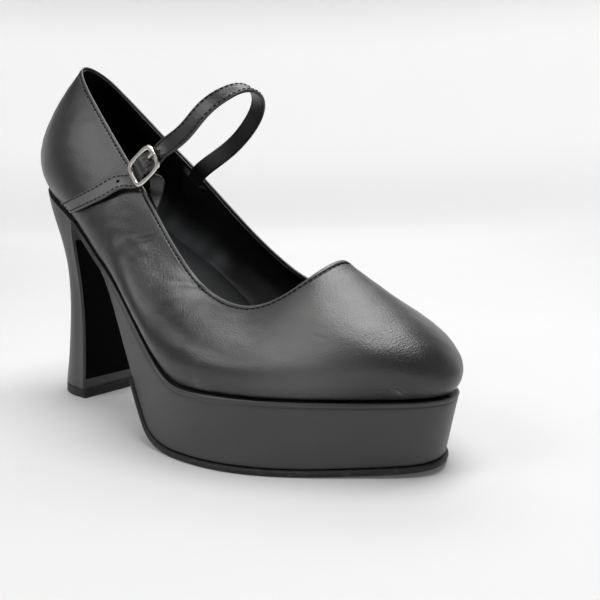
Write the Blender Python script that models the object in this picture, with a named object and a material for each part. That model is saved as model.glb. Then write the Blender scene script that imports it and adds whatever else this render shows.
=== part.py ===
"""Platform shoe for the right foot, with a strap and buckle over the instep.

X runs to the toe, Y to the medial (left) side, Z up, in metres. The origin is on the floor,
in the middle of the heel tip. Stations along the shoe are measured from the back of the seat.
"""
import math

import bmesh
import bpy
import numpy as np

# Driving dimensions
SOLE_LENGTH = 0.251            # seat back to toe, in plan
BALL_WIDTH = 0.087             # widest plan width of the platform
HEEL_HEIGHT = 0.1155           # top of the sole stack at the back of the seat
PLATFORM_HEIGHT = 0.030        # top of the sole stack under the ball
PLATFORM_TOE_TAPER = 0.0062    # how far the platform's foot draws back at the toe
PLATFORM_FLARE = 0.0008        # how far the platform's foot stands out at the sides
PLATFORM_EDGE = 0.0008         # rounding of the platform's upper edge
TOE_SPRING = 0.0026            # lift of the sole's front end from the floor
OUTSOLE_THICKNESS = 0.0026
OUTSOLE_PROUD = 0.0011         # outsole past the platform's foot
HEEL_TIP_LENGTH = 0.0350
HEEL_TIP_WIDTH = 0.0465
HEEL_TIP_HEIGHT = 0.0050
HEEL_ROUND = 0.8               # share of a heel section that its rounded back takes
HEEL_TIP_BACK = 0.0077         # heel tip's back, forward of the seat's back
BREAST_TOP = 0.0480            # heel breast at the seat, forward of the seat's back
UPPER_WALL = 0.0018
UPPER_INSET = 0.0025           # upper's lower edge, inside the platform's edge
COLLAR_BACK = 0.0310           # collar's back peak, forward of the seat's back
COLLAR_LENGTH = 0.1650         # collar's back peak to throat, in plan
COLLAR_RISE = 0.0710           # collar's back peak above the sole stack below it
INSOLE_THICKNESS = 0.0030
STRAP_WIDTH = 0.0088
STRAP_THICKNESS = 0.0016
STRAP_REACH = 0.0550           # strap's crown forward of its roots
STRAP_SPAN = 0.0220            # half the width of the strap's arch
STRAP_RISE = 0.0380            # strap's crown above its roots
HOLE_DIAMETER = 0.0018
BUCKLE_LENGTH = 0.0186
BUCKLE_RAIL = 0.0019           # width of the frame's rail, seen from above
BUCKLE_THICKNESS = 0.0015
BUCKLE_SLACK = 0.0008          # between the strap's edge and the frame's rail
BAR_DIAMETER = 0.0013
BAR_DROP = 0.0012              # middle bar below the frame's middle plane
PRONG_DIAMETER = 0.0013
ANCHOR_WIDTH = 0.0084
ANCHOR_THICKNESS = 0.0007
GAP = 0.0003                   # between pieces that touch
LINING_GAP = 0.0005            # between the lining and what is sewn to it

# How finely the faceted solids are cut
ROUND_STATIONS = 106           # points round the shoe
WALL_ROWS = 10                 # rows up the upper
WALL_CROWDING = 1.15           # power that draws the rows together at the upper's lower edge
HEEL_STATIONS = 36             # points round the heel
STRAP_STEP = 0.0020            # along the strap
STRAP_RAILS = 5                # points across the strap
ANCHOR_STEP = 0.0008
ANCHOR_RAILS = 5
FRAME_STATIONS = 34            # points round the buckle's frame
FRAME_SQUARE = 4.5             # how square the frame's corners are
WIRE_SIDES = 10                # points round the rail, bar, prong and holes
RING_STATIONS = 16
PRONG_ROWS = 12

# The sole's plan and the height of its top. Stations are shares of SOLE_LENGTH, half widths
# shares of BALL_WIDTH, and climb runs from 0, the platform's top, to 1, the seat's back.
SOLE_BACK = (0.0, 1.0)         # half width and climb at the seat's back
SOLE_TOE = (0.011, 0.017)
SOLE = (
    # along, lateral, medial, climb
    (0.030, 0.165, 0.174, 0.973),
    (0.090, 0.258, 0.272, 0.900),
    (0.200, 0.330, 0.287, 0.759),
    (0.304, 0.407, 0.293, 0.585),
    (0.386, 0.474, 0.301, 0.458),
    (0.457, 0.529, 0.322, 0.304),
    (0.519, 0.565, 0.343, 0.144),
    (0.570, 0.590, 0.366, 0.039),
    (0.652, 0.598, 0.400, 0.002),
    (0.734, 0.546, 0.426, 0.000),
    (0.816, 0.431, 0.425, -0.001),
    (0.898, 0.279, 0.333, 0.001),
    (0.959, 0.163, 0.228, 0.007),
)

# The sole's underside, as a share of the height of its top at the same station.
UNDERSIDE = (
    # along, share
    (0.000, 0.974),
    (0.180, 0.968),
    (0.263, 0.962),
    (0.324, 0.945),
    (0.365, 0.880),
    (0.406, 0.740),
    (0.447, 0.530),
    (0.478, 0.330),
    (0.503, 0.155),
    (0.529, 0.060),
    (0.560, 0.018),
    (0.590, 0.000),
    (1.000, 0.000),
)
OUTSOLE_START = 0.462          # share of SOLE_LENGTH
SPRING_START = 0.795
SPRING_CURVE = 1.6             # power of the toe spring's curve
TAPER_START = 0.713
TAPER_CURVE = 1.4

# The collar, seen from above and from the side. Stations are shares of COLLAR_LENGTH, half
# widths shares of BALL_WIDTH, and rises shares of COLLAR_RISE above the sole's top there.
COLLAR_PEAK = (-0.020, 1.02)   # half width and rise at the back
COLLAR_THROAT = (0.048, 0.716)
COLLAR = (
    # along, lateral, medial, lateral rise, medial rise
    (0.03, 0.084, 0.092, 0.960, 0.974),
    (0.12, 0.130, 0.153, 0.854, 0.869),
    (0.30, 0.177, 0.234, 0.669, 0.710),
    (0.50, 0.257, 0.284, 0.527, 0.583),
    (0.68, 0.295, 0.341, 0.507, 0.570),
    (0.82, 0.270, 0.346, 0.453, 0.498),
    (0.92, 0.206, 0.282, 0.536, 0.593),
    (0.98, 0.122, 0.175, 0.656, 0.639),
)

# How the upper leaves the sole and meets the collar: each row gives, as shares of the straight
# distance between the two edges there, how far the wall heads out and up at its lower edge,
# and how far it comes from outside and from below at the collar.
WALL_BACK = (0.234, 0.269, 0.245, 0.246)
WALL_TOE = (0.224, 0.226, 0.309, 0.213)
WALL = (
    # along, low out, low up, high out, high down
    (0.10, 0.243, 0.357, 0.221, 0.301),
    (0.30, 0.216, 0.272, 0.117, 0.277),
    (0.50, 0.223, 0.304, 0.164, 0.265),
    (0.68, 0.214, 0.317, 0.270, 0.186),
    (0.85, 0.257, 0.329, 0.363, 0.233),
)

# The heel's sections. Height is a share of the seat's height there; back and breast are moved
# forward by shares of HEEL_TIP_LENGTH, half width is a share of the heel tip's, and seat says
# how far the section has turned into the seat's own outline.
HEEL = (
    # height, back, breast, half width, seat
    (0.00, 0.000, 0.000, 1.00, 0.00),
    (0.06, 0.050, -0.030, 1.00, 0.00),
    (0.12, 0.100, -0.030, 0.985, 0.00),
    (0.22, 0.170, -0.030, 0.955, 0.00),
    (0.34, 0.235, -0.025, 0.930, 0.00),
    (0.47, 0.300, -0.020, 0.920, 0.00),
    (0.60, 0.350, -0.010, 0.945, 0.00),
    (0.70, 0.385, 0.014, 1.000, 0.02),
    (0.79, 0.375, 0.042, 1.065, 0.10),
    (0.87, 0.310, 0.064, 1.120, 0.30),
    (0.94, 0.205, 0.072, 1.170, 0.62),
    (1.00, 0.100, 0.090, 1.200, 1.00),
)

# The strap's arch from its medial root to the buckle: forward of the roots as a share of
# STRAP_REACH, to the medial side as a share of STRAP_SPAN, up as a share of STRAP_RISE, and
# the dip of its width below the horizontal, in degrees.
STRAP_BASE = (0.0910, 0.1180)  # roots of the arch: station and height
STRAP_ARCH = (
    # forward, side, up, dip
    (0.33, 1.00, 0.27, 48),
    (0.65, 0.94, 0.55, 42),
    (0.88, 0.70, 0.80, 33),
    (0.98, 0.36, 0.94, 27),
    (0.99, 0.00, 0.98, 24),
    (0.94, -0.38, 0.91, 27),
    (0.81, -0.70, 0.73, 33),
    (0.63, -0.87, 0.47, 40),
    (0.45, -0.93, 0.33, 45),
)
BUCKLE_CENTRE = (0.170, -1.00, 0.105)   # in the same shares
BUCKLE_HEADING = (0.80, 0.13, 0.58)     # from the tail to the arch
BUCKLE_DIP = 46                         # dip of the frame's width, in degrees

# The strap's way through the buckle, under, over and under the frame's bars. Along is a share
# of half the frame's length, towards the arch, and bar says how far the strap has risen from
# its place under the end rails, 0, to its place over the middle bar, 1.
STRAP_WEAVE = (
    # along, rise
    (1.08, 0.0),
    (0.76, 0.03),
    (0.38, 0.58),
    (0.00, 1.0),
    (-0.38, 0.58),
    (-0.76, 0.03),
    (-1.08, 0.0),
)

# Places on the upper's wall: stations as shares of the way round the shoe from the back to the
# toe, on the named side, and shares of the way up the wall. Lift is how far the strap stands
# off the wall, as a share of its thickness.
STRAP_ROOT = (
    # round, up, on the medial lining
    (0.387, 0.74),
    (0.402, 0.87),
    (0.416, 1.00),
)
STRAP_TAIL = (
    # upper edge round, up, lower edge round, up, lift, on the lateral quarter
    (0.3690, 0.800, 0.3960, 0.785, 1.0),
    (0.3457, 0.611, 0.3725, 0.603, 0.5),
    (0.3332, 0.509, 0.3588, 0.503, 0.2),
    (0.3157, 0.375, 0.3403, 0.371, 0.0),
    (0.2992, 0.269, 0.3265, 0.278, 0.0),
    (0.2830, 0.183, 0.3154, 0.212, 0.0),
    (0.2630, 0.110, 0.3028, 0.145, 0.0),
)
ANCHOR_ROOT = (
    # round, up, on the lateral lining
    (0.452, 0.90),
    (0.451, 0.99),
    (0.450, 1.07),
)
ANCHOR_BEND = (0.02, 0.52, -3.1)       # along and across the frame, and out in bar drops
ANCHOR_WRAP = (-90, -50, -10, 30, 70, 110, 150, 190)   # degrees round the bar
HOLE_STATIONS = (-0.0120, 0.0205)       # spare holes, along the strap from the middle bar

# The prong's middle line from its ring round the bar to its tip on the end rail. Along is a
# share of half the frame's length, rise a share of the bar's drop from the bar's middle.
PRONG_PATH = (
    # along, rise
    (0.18, 0.00),
    (0.33, 0.06),
    (0.49, 0.60),
    (0.62, 1.75),
    (0.76, 2.38),
    (1.01, 2.42),
)

COLOURS = {
    # colour, roughness, metallic
    "leather": ((0.022, 0.021, 0.022), 0.34, 0.0),
    "wrap": ((0.030, 0.030, 0.031), 0.38, 0.0),
    "rubber": ((0.012, 0.012, 0.012), 0.60, 0.0),
    "sock": ((0.030, 0.032, 0.032), 0.60, 0.0),
    "metal": ((0.80, 0.78, 0.74), 0.16, 1.0),
}

ORIGIN = np.array([HEEL_TIP_BACK + HEEL_TIP_LENGTH / 2, 0.0, 0.0])
BUCKLE_WIDTH = STRAP_WIDTH + 2 * (BUCKLE_RAIL + BUCKLE_SLACK)
UP = np.array([0.0, 0.0, 1.0])
DOWN = np.array([0.7, 0.0, -0.7])       # side of a band that faces down and to the toe
ANCHOR_SKEW = math.radians(35)          # anchor's width, turned from the frame's


def clear_scene():
    """Remove every object that the file opens with."""
    for item in list(bpy.data.objects):
        bpy.data.objects.remove(item)


def material(finish):
    """The Principled material of one finish, made once."""
    found = bpy.data.materials.get(finish)
    if found:
        return found
    colour, roughness, metallic = COLOURS[finish]
    made = bpy.data.materials.new(finish)
    made.use_nodes = True
    shader = made.node_tree.nodes["Principled BSDF"]
    shader.inputs["Base Color"].default_value = (*colour, 1.0)
    shader.inputs["Roughness"].default_value = roughness
    shader.inputs["Metallic"].default_value = metallic
    return made


def unit(vectors):
    """Vectors scaled to length one."""
    return vectors / np.linalg.norm(vectors, axis=-1, keepdims=True)


class Spline:
    """A cubic spline through rows of values, either closed on itself or with free ends."""

    def __init__(self, knots, values, period=None):
        self.knots = np.asarray(knots, float)
        self.values = np.asarray(values, float)
        self.period = period
        if period:
            self.knots = np.append(self.knots, self.knots[0] + period)
            self.values = np.concatenate([self.values, self.values[:1]])
        step = np.diff(self.knots)
        slope = np.diff(self.values, axis=0) / step[:, None]
        count = len(self.knots)
        left = np.eye(count)
        right = np.zeros((count, self.values.shape[1]))
        for i in range(1, count - 1):
            left[i, i - 1:i + 2] = step[i - 1], 2 * (step[i - 1] + step[i]), step[i]
            right[i] = 6 * (slope[i] - slope[i - 1])
        if period:
            left[0, [0, 1, -2]] = 2 * (step[0] + step[-1]), step[0], step[-1]
            right[0] = 6 * (slope[0] - slope[-1])
            left[-1, 0] = -1
        self.bends = np.linalg.solve(left, right)

    def __call__(self, at):
        at = np.asarray(at, float)
        if self.period:
            at = self.knots[0] + np.mod(at - self.knots[0], self.period)
        i = np.clip(np.searchsorted(self.knots, at, side="right") - 1, 0, len(self.knots) - 2)
        step = (self.knots[i + 1] - self.knots[i])[..., None]
        ahead = (self.knots[i + 1] - at)[..., None]
        behind = (at - self.knots[i])[..., None]
        low, high = self.bends[i], self.bends[i + 1]
        start, end = self.values[i], self.values[i + 1]
        return (low * ahead ** 3 + high * behind ** 3) / (6 * step) \
            + (start / step - low * step / 6) * ahead + (end / step - high * step / 6) * behind


def turn_of(share):
    """The angle round the shoe, 0 at the back and pi at the toe, of a station's share."""
    return np.arccos(np.clip(1 - 2 * np.asarray(share, float), -1, 1))


def ring_spline(back, toe, lateral, medial, stations):
    """A closed spline round the shoe from rows at stations on both sides and at both ends."""
    turns = turn_of(stations)
    knots = np.concatenate([[0.0], turns, [math.pi], 2 * math.pi - turns[::-1]])
    values = np.concatenate([[back], lateral, [toe], np.asarray(medial)[::-1]])
    return Spline(knots, values, 2 * math.pi)


def make_rings():
    """The splines of the sole's plan, its climb, the collar and the wall's handles."""
    sole = np.array(SOLE)
    collar = np.array(COLLAR)
    wall = np.array(WALL)
    plan = ring_spline([SOLE_BACK[0]], [SOLE_TOE[0]], -sole[:, 1:2], sole[:, 2:3], sole[:, 0])
    climb = ring_spline([SOLE_BACK[1]], [SOLE_TOE[1]], sole[:, 3:4], sole[:, 3:4], sole[:, 0])
    edge = ring_spline(COLLAR_PEAK, COLLAR_THROAT, collar[:, [1, 3]] * [-1, 1],
                       collar[:, [2, 4]], collar[:, 0])
    handles = ring_spline(WALL_BACK, WALL_TOE, wall[:, 1:], wall[:, 1:], wall[:, 0])
    return plan, climb, edge, handles


PLAN, CLIMB, EDGE, HANDLES = make_rings()


def sole_top(x):
    """Height of the sole stack's top, level across the shoe, at stations in metres."""
    climb = CLIMB(turn_of(x / SOLE_LENGTH))[..., 0]
    return PLATFORM_HEIGHT + (HEEL_HEIGHT - PLATFORM_HEIGHT) * climb


def sole_under(x):
    """Height of the sole's lowest face, outsole included."""
    rows = np.array(UNDERSIDE)
    share = np.clip(x / SOLE_LENGTH, 0, 1)
    smooth = Spline(rows[:, 0], rows[:, 1:])(share)[..., 0]
    flat = rows[-2, 0]
    lift = np.clip((share - SPRING_START) / (1 - SPRING_START), 0, 1) ** SPRING_CURVE
    return np.where(share < flat, np.maximum(smooth, 0) * sole_top(x), 0) + TOE_SPRING * lift


def above_floor_face(x, distance):
    """Height of a face that lies a distance above the sole's lowest face, square to it."""
    step = 1e-4
    slope = (sole_under(x + step) - sole_under(x - step)) / (2 * step)
    return sole_under(x) + distance * np.sqrt(1 + slope ** 2)


def plan_normal(curve, turn):
    """Outward plan normals of a closed curve of the turn."""
    step = 1e-4
    run = unit(curve(turn + step) - curve(turn - step))
    return np.stack([run[..., 1], -run[..., 0]], -1)


def plan_curve(turn):
    """The platform's plan edge."""
    x = SOLE_LENGTH * (1 - np.cos(turn)) / 2
    return np.stack([x, BALL_WIDTH * PLAN(turn)[..., 0]], -1)


def sole_edge(turn, inset=0.0):
    """The platform's plan edge, drawn in by an inset."""
    return plan_curve(turn) - inset * plan_normal(plan_curve, turn)


def collar_plan(turn):
    """The collar's edge in plan."""
    x = COLLAR_BACK + COLLAR_LENGTH * (1 - np.cos(turn)) / 2
    return np.stack([x, BALL_WIDTH * EDGE(turn)[..., 0]], -1)


def collar_edge(turn):
    """The collar's edge in space."""
    plan = collar_plan(turn)
    height = sole_top(plan[..., 0]) + COLLAR_RISE * EDGE(turn)[..., 1]
    return np.concatenate([plan, height[..., None]], -1)


def wall_point(turn, up):
    """The upper's outer face: a cubic curve from the sole's edge, 0, to the collar's, 1."""
    turn, up = np.broadcast_arrays(np.asarray(turn, float), np.asarray(up, float))
    foot = sole_edge(turn, UPPER_INSET)
    low = np.concatenate([foot, (sole_top(foot[..., 0]) + GAP)[..., None]], -1)
    high = collar_edge(turn)
    reach = np.linalg.norm(high - low, axis=-1, keepdims=True)
    share = HANDLES(turn)[..., None, :]
    zero = np.zeros(turn.shape + (1,))
    out_low = np.concatenate([plan_normal(plan_curve, turn), zero], -1)
    out_high = np.concatenate([plan_normal(collar_plan, turn), zero], -1)
    first = low + reach * (share[..., 0] * out_low + share[..., 1] * UP)
    second = high + reach * (share[..., 2] * out_high - share[..., 3] * UP)
    t = up[..., None]
    return (1 - t) ** 3 * low + 3 * (1 - t) ** 2 * t * first \
        + 3 * (1 - t) * t ** 2 * second + t ** 3 * high


def wall_normal(turn, up):
    """Outward normals of the upper's outer face."""
    step = 1e-3
    above = np.minimum(up + step, 1.0)
    below = np.maximum(up - step, 0.0)
    round_run = wall_point(turn + step, up) - wall_point(turn - step, up)
    rise = wall_point(turn, above) - wall_point(turn, below)
    return unit(np.cross(round_run, rise))


def add_object(name, points, faces, finish):
    """One named mesh object of a finish, with its points moved to the shoe's origin."""
    mesh = bpy.data.meshes.new(name)
    mesh.from_pydata((np.asarray(points) - ORIGIN).tolist(), [], faces)
    work = bmesh.new()
    work.from_mesh(mesh)
    bmesh.ops.triangulate(work, faces=[f for f in work.faces if len(f.verts) > 4])
    bmesh.ops.recalc_face_normals(work, faces=work.faces)
    work.to_mesh(mesh)
    work.free()
    mesh.materials.append(material(finish))
    mesh.shade_smooth()
    mesh.set_sharp_from_angle(angle=math.radians(35))
    made = bpy.data.objects.new(name, mesh)
    bpy.context.scene.collection.objects.link(made)
    return made


def side_faces(rows, count):
    """Quads between rings of points, one ring after another."""
    faces = []
    for row in range(rows - 1):
        for i in range(count):
            j = (i + 1) % count
            a, b = row * count, (row + 1) * count
            faces.append((a + i, a + j, b + j, b + i))
    return faces


def strip_faces(start, count):
    """Quads across a ring whose points lie in pairs, first with last."""
    last = start + count - 1
    return [(start + i, start + i + 1, last - i - 1, last - i) for i in range(count // 2 - 1)]


def add_stack(name, rings, finish):
    """A closed solid from rings of paired points, capped across at both ends."""
    rings = np.asarray(rings)
    rows, count = rings.shape[:2]
    faces = side_faces(rows, count) + strip_faces(0, count) + strip_faces((rows - 1) * count, count)
    return add_object(name, rings.reshape(-1, 3), faces, finish)


def full_turns():
    """Turns round the whole shoe, in pairs either side of the middle line."""
    return (np.arange(ROUND_STATIONS) + 0.5) * 2 * math.pi / ROUND_STATIONS


def front_turns(start):
    """Turns from a station round the toe and back to the station on the other side."""
    first = float(turn_of(start / SOLE_LENGTH))
    ring = full_turns()
    clear = math.pi / ROUND_STATIONS
    inside = ring[(ring > first + clear) & (ring < 2 * math.pi - first - clear)]
    return np.concatenate([[first], inside, [2 * math.pi - first]])


def at_height(plan, height):
    """Points over plan points at a height."""
    return np.concatenate([plan, np.broadcast_to(height, plan.shape[:-1])[..., None]], -1)


def add_upper():
    """The upper: outer face up to the collar and lining down again, rims at both edges."""
    turns = full_turns()
    ups = np.linspace(0, 1, WALL_ROWS + 1) ** WALL_CROWDING
    outer = np.stack([wall_point(turns, up) for up in ups])
    inner = np.stack([outer[i] - UPPER_WALL * wall_normal(turns, ups[i]) for i in range(len(ups))])
    inner[0] = at_height(sole_edge(turns, UPPER_INSET + UPPER_WALL), 0)
    inner[0][:, 2] = sole_top(inner[0][:, 0]) + GAP
    rings = np.concatenate([outer, inner[::-1]])
    rows, count = rings.shape[:2]
    faces = side_faces(rows, count)
    last = (rows - 1) * count
    for i in range(count):
        j = (i + 1) % count
        faces.append((last + i, last + j, j, i))
    return add_object("upper", rings.reshape(-1, 3), faces, "leather")


def foot_plan(turns, inset):
    """The plan of the platform's foot: drawn back at the toe, a little flared at the sides."""
    plan = sole_edge(turns, inset - PLATFORM_FLARE)
    front = np.clip((plan[:, 0] / SOLE_LENGTH - TAPER_START) / (1 - TAPER_START), 0, 1) ** TAPER_CURVE
    plan[:, 0] -= (PLATFORM_TOE_TAPER + PLATFORM_FLARE) * front
    return plan


def keep_ends(plan, station):
    """Both ends of a plan ring moved onto one straight line across the shoe."""
    plan[[0, -1], 0] = station
    return plan


def add_platform():
    """The wrapped platform, from the heel breast to the toe."""
    turns = front_turns(BREAST_TOP + GAP)
    back = BREAST_TOP + GAP
    crown = keep_ends(sole_edge(turns, PLATFORM_EDGE), back)
    edge = keep_ends(sole_edge(turns), back)
    middle = keep_ends((sole_edge(turns) + foot_plan(turns, 0)) / 2, back)
    foot = keep_ends(foot_plan(turns, 0), back)
    base = keep_ends(foot_plan(turns, PLATFORM_EDGE), back)
    lift = OUTSOLE_THICKNESS + GAP
    low = [np.minimum(above_floor_face(p[:, 0], lift), sole_top(p[:, 0]) - 2 * PLATFORM_EDGE)
           for p in (foot, base)]
    top = sole_top(edge[:, 0])
    thick = top - low[0]
    rings = [
        at_height(crown, sole_top(crown[:, 0])),
        at_height(edge, top - np.minimum(PLATFORM_EDGE, thick / 3)),
        at_height(middle, (top + low[0]) / 2),
        at_height(foot, low[0] + np.minimum(PLATFORM_EDGE, thick / 3)),
        at_height(base, low[1]),
    ]
    return add_stack("platform", rings, "wrap")


def add_outsole():
    """The rubber outsole under the forefoot, a little proud of the platform's foot."""
    start = OUTSOLE_START * SOLE_LENGTH
    turns = front_turns(start)
    plans = [keep_ends(foot_plan(turns, -OUTSOLE_PROUD + inset), start)
             for inset in (PLATFORM_EDGE, 0, PLATFORM_EDGE / 2)]
    depths = (OUTSOLE_THICKNESS, OUTSOLE_THICKNESS / 2, 0)
    rings = [at_height(p, above_floor_face(p[:, 0], d)) for p, d in zip(plans, depths)]
    return add_stack("outsole", rings, "rubber")


def add_insole():
    """The padded insole inside the upper, from seat to toe."""
    turns = full_turns()
    edge = UPPER_INSET + UPPER_WALL + LINING_GAP
    soft = INSOLE_THICKNESS / 2
    rings = []
    for inset, lift in ((edge, GAP), (edge, INSOLE_THICKNESS - soft), (edge + soft, INSOLE_THICKNESS)):
        plan = sole_edge(turns, inset)
        rings.append(at_height(plan, sole_top(plan[:, 0]) + lift))
    return add_stack("insole", rings, "sock")


def heel_section(back, breast, width, angle):
    """A heel section in plan: a straight breast and flanks, and a back as half an ellipse."""
    start = HEEL_TIP_BACK + back * HEEL_TIP_LENGTH
    length = HEEL_TIP_LENGTH * (1 + breast - back)
    x = start + HEEL_ROUND * length * (1 - np.cos(angle))
    x[[0, -1]] = start + length
    return np.stack([x, width * HEEL_TIP_WIDTH / 2 * np.sin(angle)], -1)


def heel_rings():
    """The heel's sections from the heel tip to the seat, each as matching rings of points."""
    half = np.linspace(-1, 1, HEEL_STATIONS)
    angle = np.concatenate([[-math.pi / 2], np.linspace(-1, 1, HEEL_STATIONS - 2) * math.pi / 2,
                            [math.pi / 2]])
    seat = sole_edge(np.mod(float(turn_of(BREAST_TOP / SOLE_LENGTH)) * -half, 2 * math.pi))
    seat[[0, -1], 0] = BREAST_TOP
    table = np.array(HEEL)
    rings = []
    for height, back, breast, width, blend in table:
        section = heel_section(back, breast, width, angle)
        plan = section + blend * (seat - section)
        ring_height = height * (sole_top(plan[:, 0]) - GAP)
        rings.append(at_height(plan, ring_height))
    return np.array(rings)


def add_heel():
    """The heel above its tip, and the tip below it, from the same sections."""
    rings = heel_rings()
    flat = HEEL_TIP_HEIGHT
    share = flat / rings[1][:, 2].mean()
    cut = rings[0] + share * (rings[1] - rings[0])
    lower = cut.copy()
    lower[:, 2] = flat + GAP
    upper = rings[1:]
    heel = add_stack("heel", np.concatenate([lower[None], upper]), "wrap")
    base = rings[0].copy()
    base[:, 2] = 0
    crown = cut.copy()
    crown[:, 2] = flat
    tip = add_stack("heel_tip", [base, crown], "rubber")
    return heel, tip


def strap_width_run(run, dip):
    """The unit vector across a strap that runs one way and dips by degrees to the front."""
    angle = np.radians(dip)
    across = np.stack([np.cos(angle), 0 * angle, -np.sin(angle)], -1)
    return unit(across - np.sum(across * run, -1, keepdims=True) * run)


def buckle_axes():
    """The buckle's centre and its unit vectors along, across and out of the frame."""
    reach = np.array([STRAP_REACH, STRAP_SPAN, STRAP_RISE])
    base = np.array([STRAP_BASE[0], 0.0, STRAP_BASE[1]])
    along = unit(np.array(BUCKLE_HEADING))
    across = strap_width_run(-along, np.array(float(BUCKLE_DIP)))
    return base + reach * BUCKLE_CENTRE, along, across, np.cross(-along, across)


def in_buckle(along, across, out):
    """A place in the buckle's own axes as a point in space."""
    centre, e1, e2, e3 = buckle_axes()
    along, across, out = np.broadcast_arrays(*(np.asarray(v, float) for v in (along, across, out)))
    return centre + along[..., None] * e1 + across[..., None] * e2 + out[..., None] * e3


def wall_band(rounds, ups, offset, half, count):
    """Sections of a band that lies along the wall, at an offset from its outer face.

    The band's middle passes through the places given. Each section follows the wall's curve,
    is square to the band's run and starts at the upper edge.
    """
    turns = np.mod(np.asarray(rounds) * math.pi, 2 * math.pi)
    step = 1e-3
    rows = []
    middles = wall_point(turns, np.asarray(ups))
    for i, (turn, up) in enumerate(zip(turns, ups)):
        here = min(up, 1 - step)
        round_run = (wall_point(turn + step, here) - wall_point(turn - step, here)) / (2 * step)
        up_run = (wall_point(turn, here + step) - wall_point(turn, here - step)) / (2 * step)
        out = wall_normal(turn, here)
        first, last = max(i - 1, 0), min(i + 1, len(turns) - 1)
        run = unit(middles[last] - middles[first])
        across = unit(np.cross(out, run))
        across = across * np.sign(across @ DOWN)
        moves = np.linalg.lstsq(np.stack([round_run, up_run], 1), across, rcond=None)[0]
        spread = np.linspace(-half, half, count)
        reach = np.clip(up + moves[1] * spread, 0, 1)
        at = turn + moves[0] * spread
        over = (up + moves[1] * spread - reach)[:, None] * up_run
        rows.append(wall_point(at, reach) + over + offset * wall_normal(at, reach))
    return np.array(rows)


def strap_sections():
    """Sections of the strap's middle face, from the medial root to the end of the tail."""
    half = STRAP_WIDTH / 2
    sewn = UPPER_WALL + LINING_GAP + STRAP_THICKNESS / 2
    root = np.array(STRAP_ROOT)
    tail = np.array(STRAP_TAIL)
    inside = wall_band(2 - root[:, 0], root[:, 1], -sewn, half, STRAP_RAILS)
    share = np.linspace(0, 1, STRAP_RAILS)[:, None]
    turns = math.pi * (tail[:, 0] + share * (tail[:, 2] - tail[:, 0])).T
    ups = (tail[:, 1] + share * (tail[:, 3] - tail[:, 1])).T
    laid = GAP + STRAP_THICKNESS * (tail[:, 4, None, None] + 0.5)
    outside = wall_point(turns, ups) + laid * wall_normal(turns, ups)
    arch = np.array(STRAP_ARCH)
    base = np.array([STRAP_BASE[0], 0.0, STRAP_BASE[1]])
    middle = base + arch[:, :3] * [STRAP_REACH, STRAP_SPAN, STRAP_RISE]
    ends = np.concatenate([inside[-1:, STRAP_RAILS // 2], middle, in_buckle([half], [0], [0])])
    run = unit(ends[2:] - ends[:-2])
    across = strap_width_run(run, arch[:, 3])
    spread = np.linspace(-half, half, STRAP_RAILS)
    free = middle[:, None] + spread[:, None] * across[:, None]
    weave = np.array(STRAP_WEAVE)
    under = -BUCKLE_THICKNESS / 2 - GAP - STRAP_THICKNESS / 2
    over = -BAR_DROP + BAR_DIAMETER / 2 + 2 * GAP + ANCHOR_THICKNESS + STRAP_THICKNESS / 2
    through = in_buckle((weave[:, 0] * BUCKLE_LENGTH / 2)[:, None], spread,
                        (under + (over - under) * weave[:, 1])[:, None])
    return np.concatenate([inside, free, through, outside])


def band_rows(sections, gap):
    """A band's sections, evened out to lie about a gap apart, and their places along it."""
    middle = sections[:, sections.shape[1] // 2]
    length = np.concatenate([[0], np.cumsum(np.linalg.norm(np.diff(middle, axis=0), axis=1))])
    rails = Spline(length, sections.reshape(len(sections), -1))
    at = np.linspace(0, length[-1], int(round(length[-1] / gap)) + 1)
    return rails(at).reshape(len(at), -1, 3), at


def band_normals(rows):
    """Outward normals over the middle face of a band."""
    run = np.gradient(rows, axis=0)
    across = np.gradient(rows, axis=1)
    return unit(np.cross(run, across))


def add_band(name, rows, thickness, finish):
    """A closed band of a thickness about its middle face."""
    normals = band_normals(rows)
    outer = rows + normals * thickness / 2
    inner = rows - normals * thickness / 2
    rings = np.concatenate([outer, inner[:, ::-1]], 1)
    return add_stack(name, rings, finish)


def tube(path, radius, closed=False):
    """Rings of points round a line in the buckle's own plane."""
    ahead, behind = np.roll(path, -1, 0), np.roll(path, 1, 0)
    if not closed:
        ahead[-1], behind[0] = path[-1], path[0]
    side = buckle_axes()[2]
    lift = np.cross(unit(ahead - behind), side)
    angle = (np.arange(WIRE_SIDES) * 2 * math.pi / WIRE_SIDES)[:, None]
    return path[:, None] + radius * (np.cos(angle) * side + np.sin(angle) * lift[:, None])


def add_loop(name, rings, finish):
    """A closed solid from rings of points, the last joined to the first."""
    rows, count = rings.shape[:2]
    faces = [(r * count + i, r * count + (i + 1) % count,
              (r + 1) % rows * count + (i + 1) % count, (r + 1) % rows * count + i)
             for r in range(rows) for i in range(count)]
    return add_object(name, rings.reshape(-1, 3), faces, finish)


def bar_rings(half_length, radius):
    """Two rings round the middle bar's line, half a length either way from its middle."""
    angle = np.arange(WIRE_SIDES) * 2 * math.pi / WIRE_SIDES
    ends = np.array([-half_length, half_length])[:, None]
    return in_buckle(radius * np.cos(angle), ends, radius * np.sin(angle) - BAR_DROP)


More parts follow.
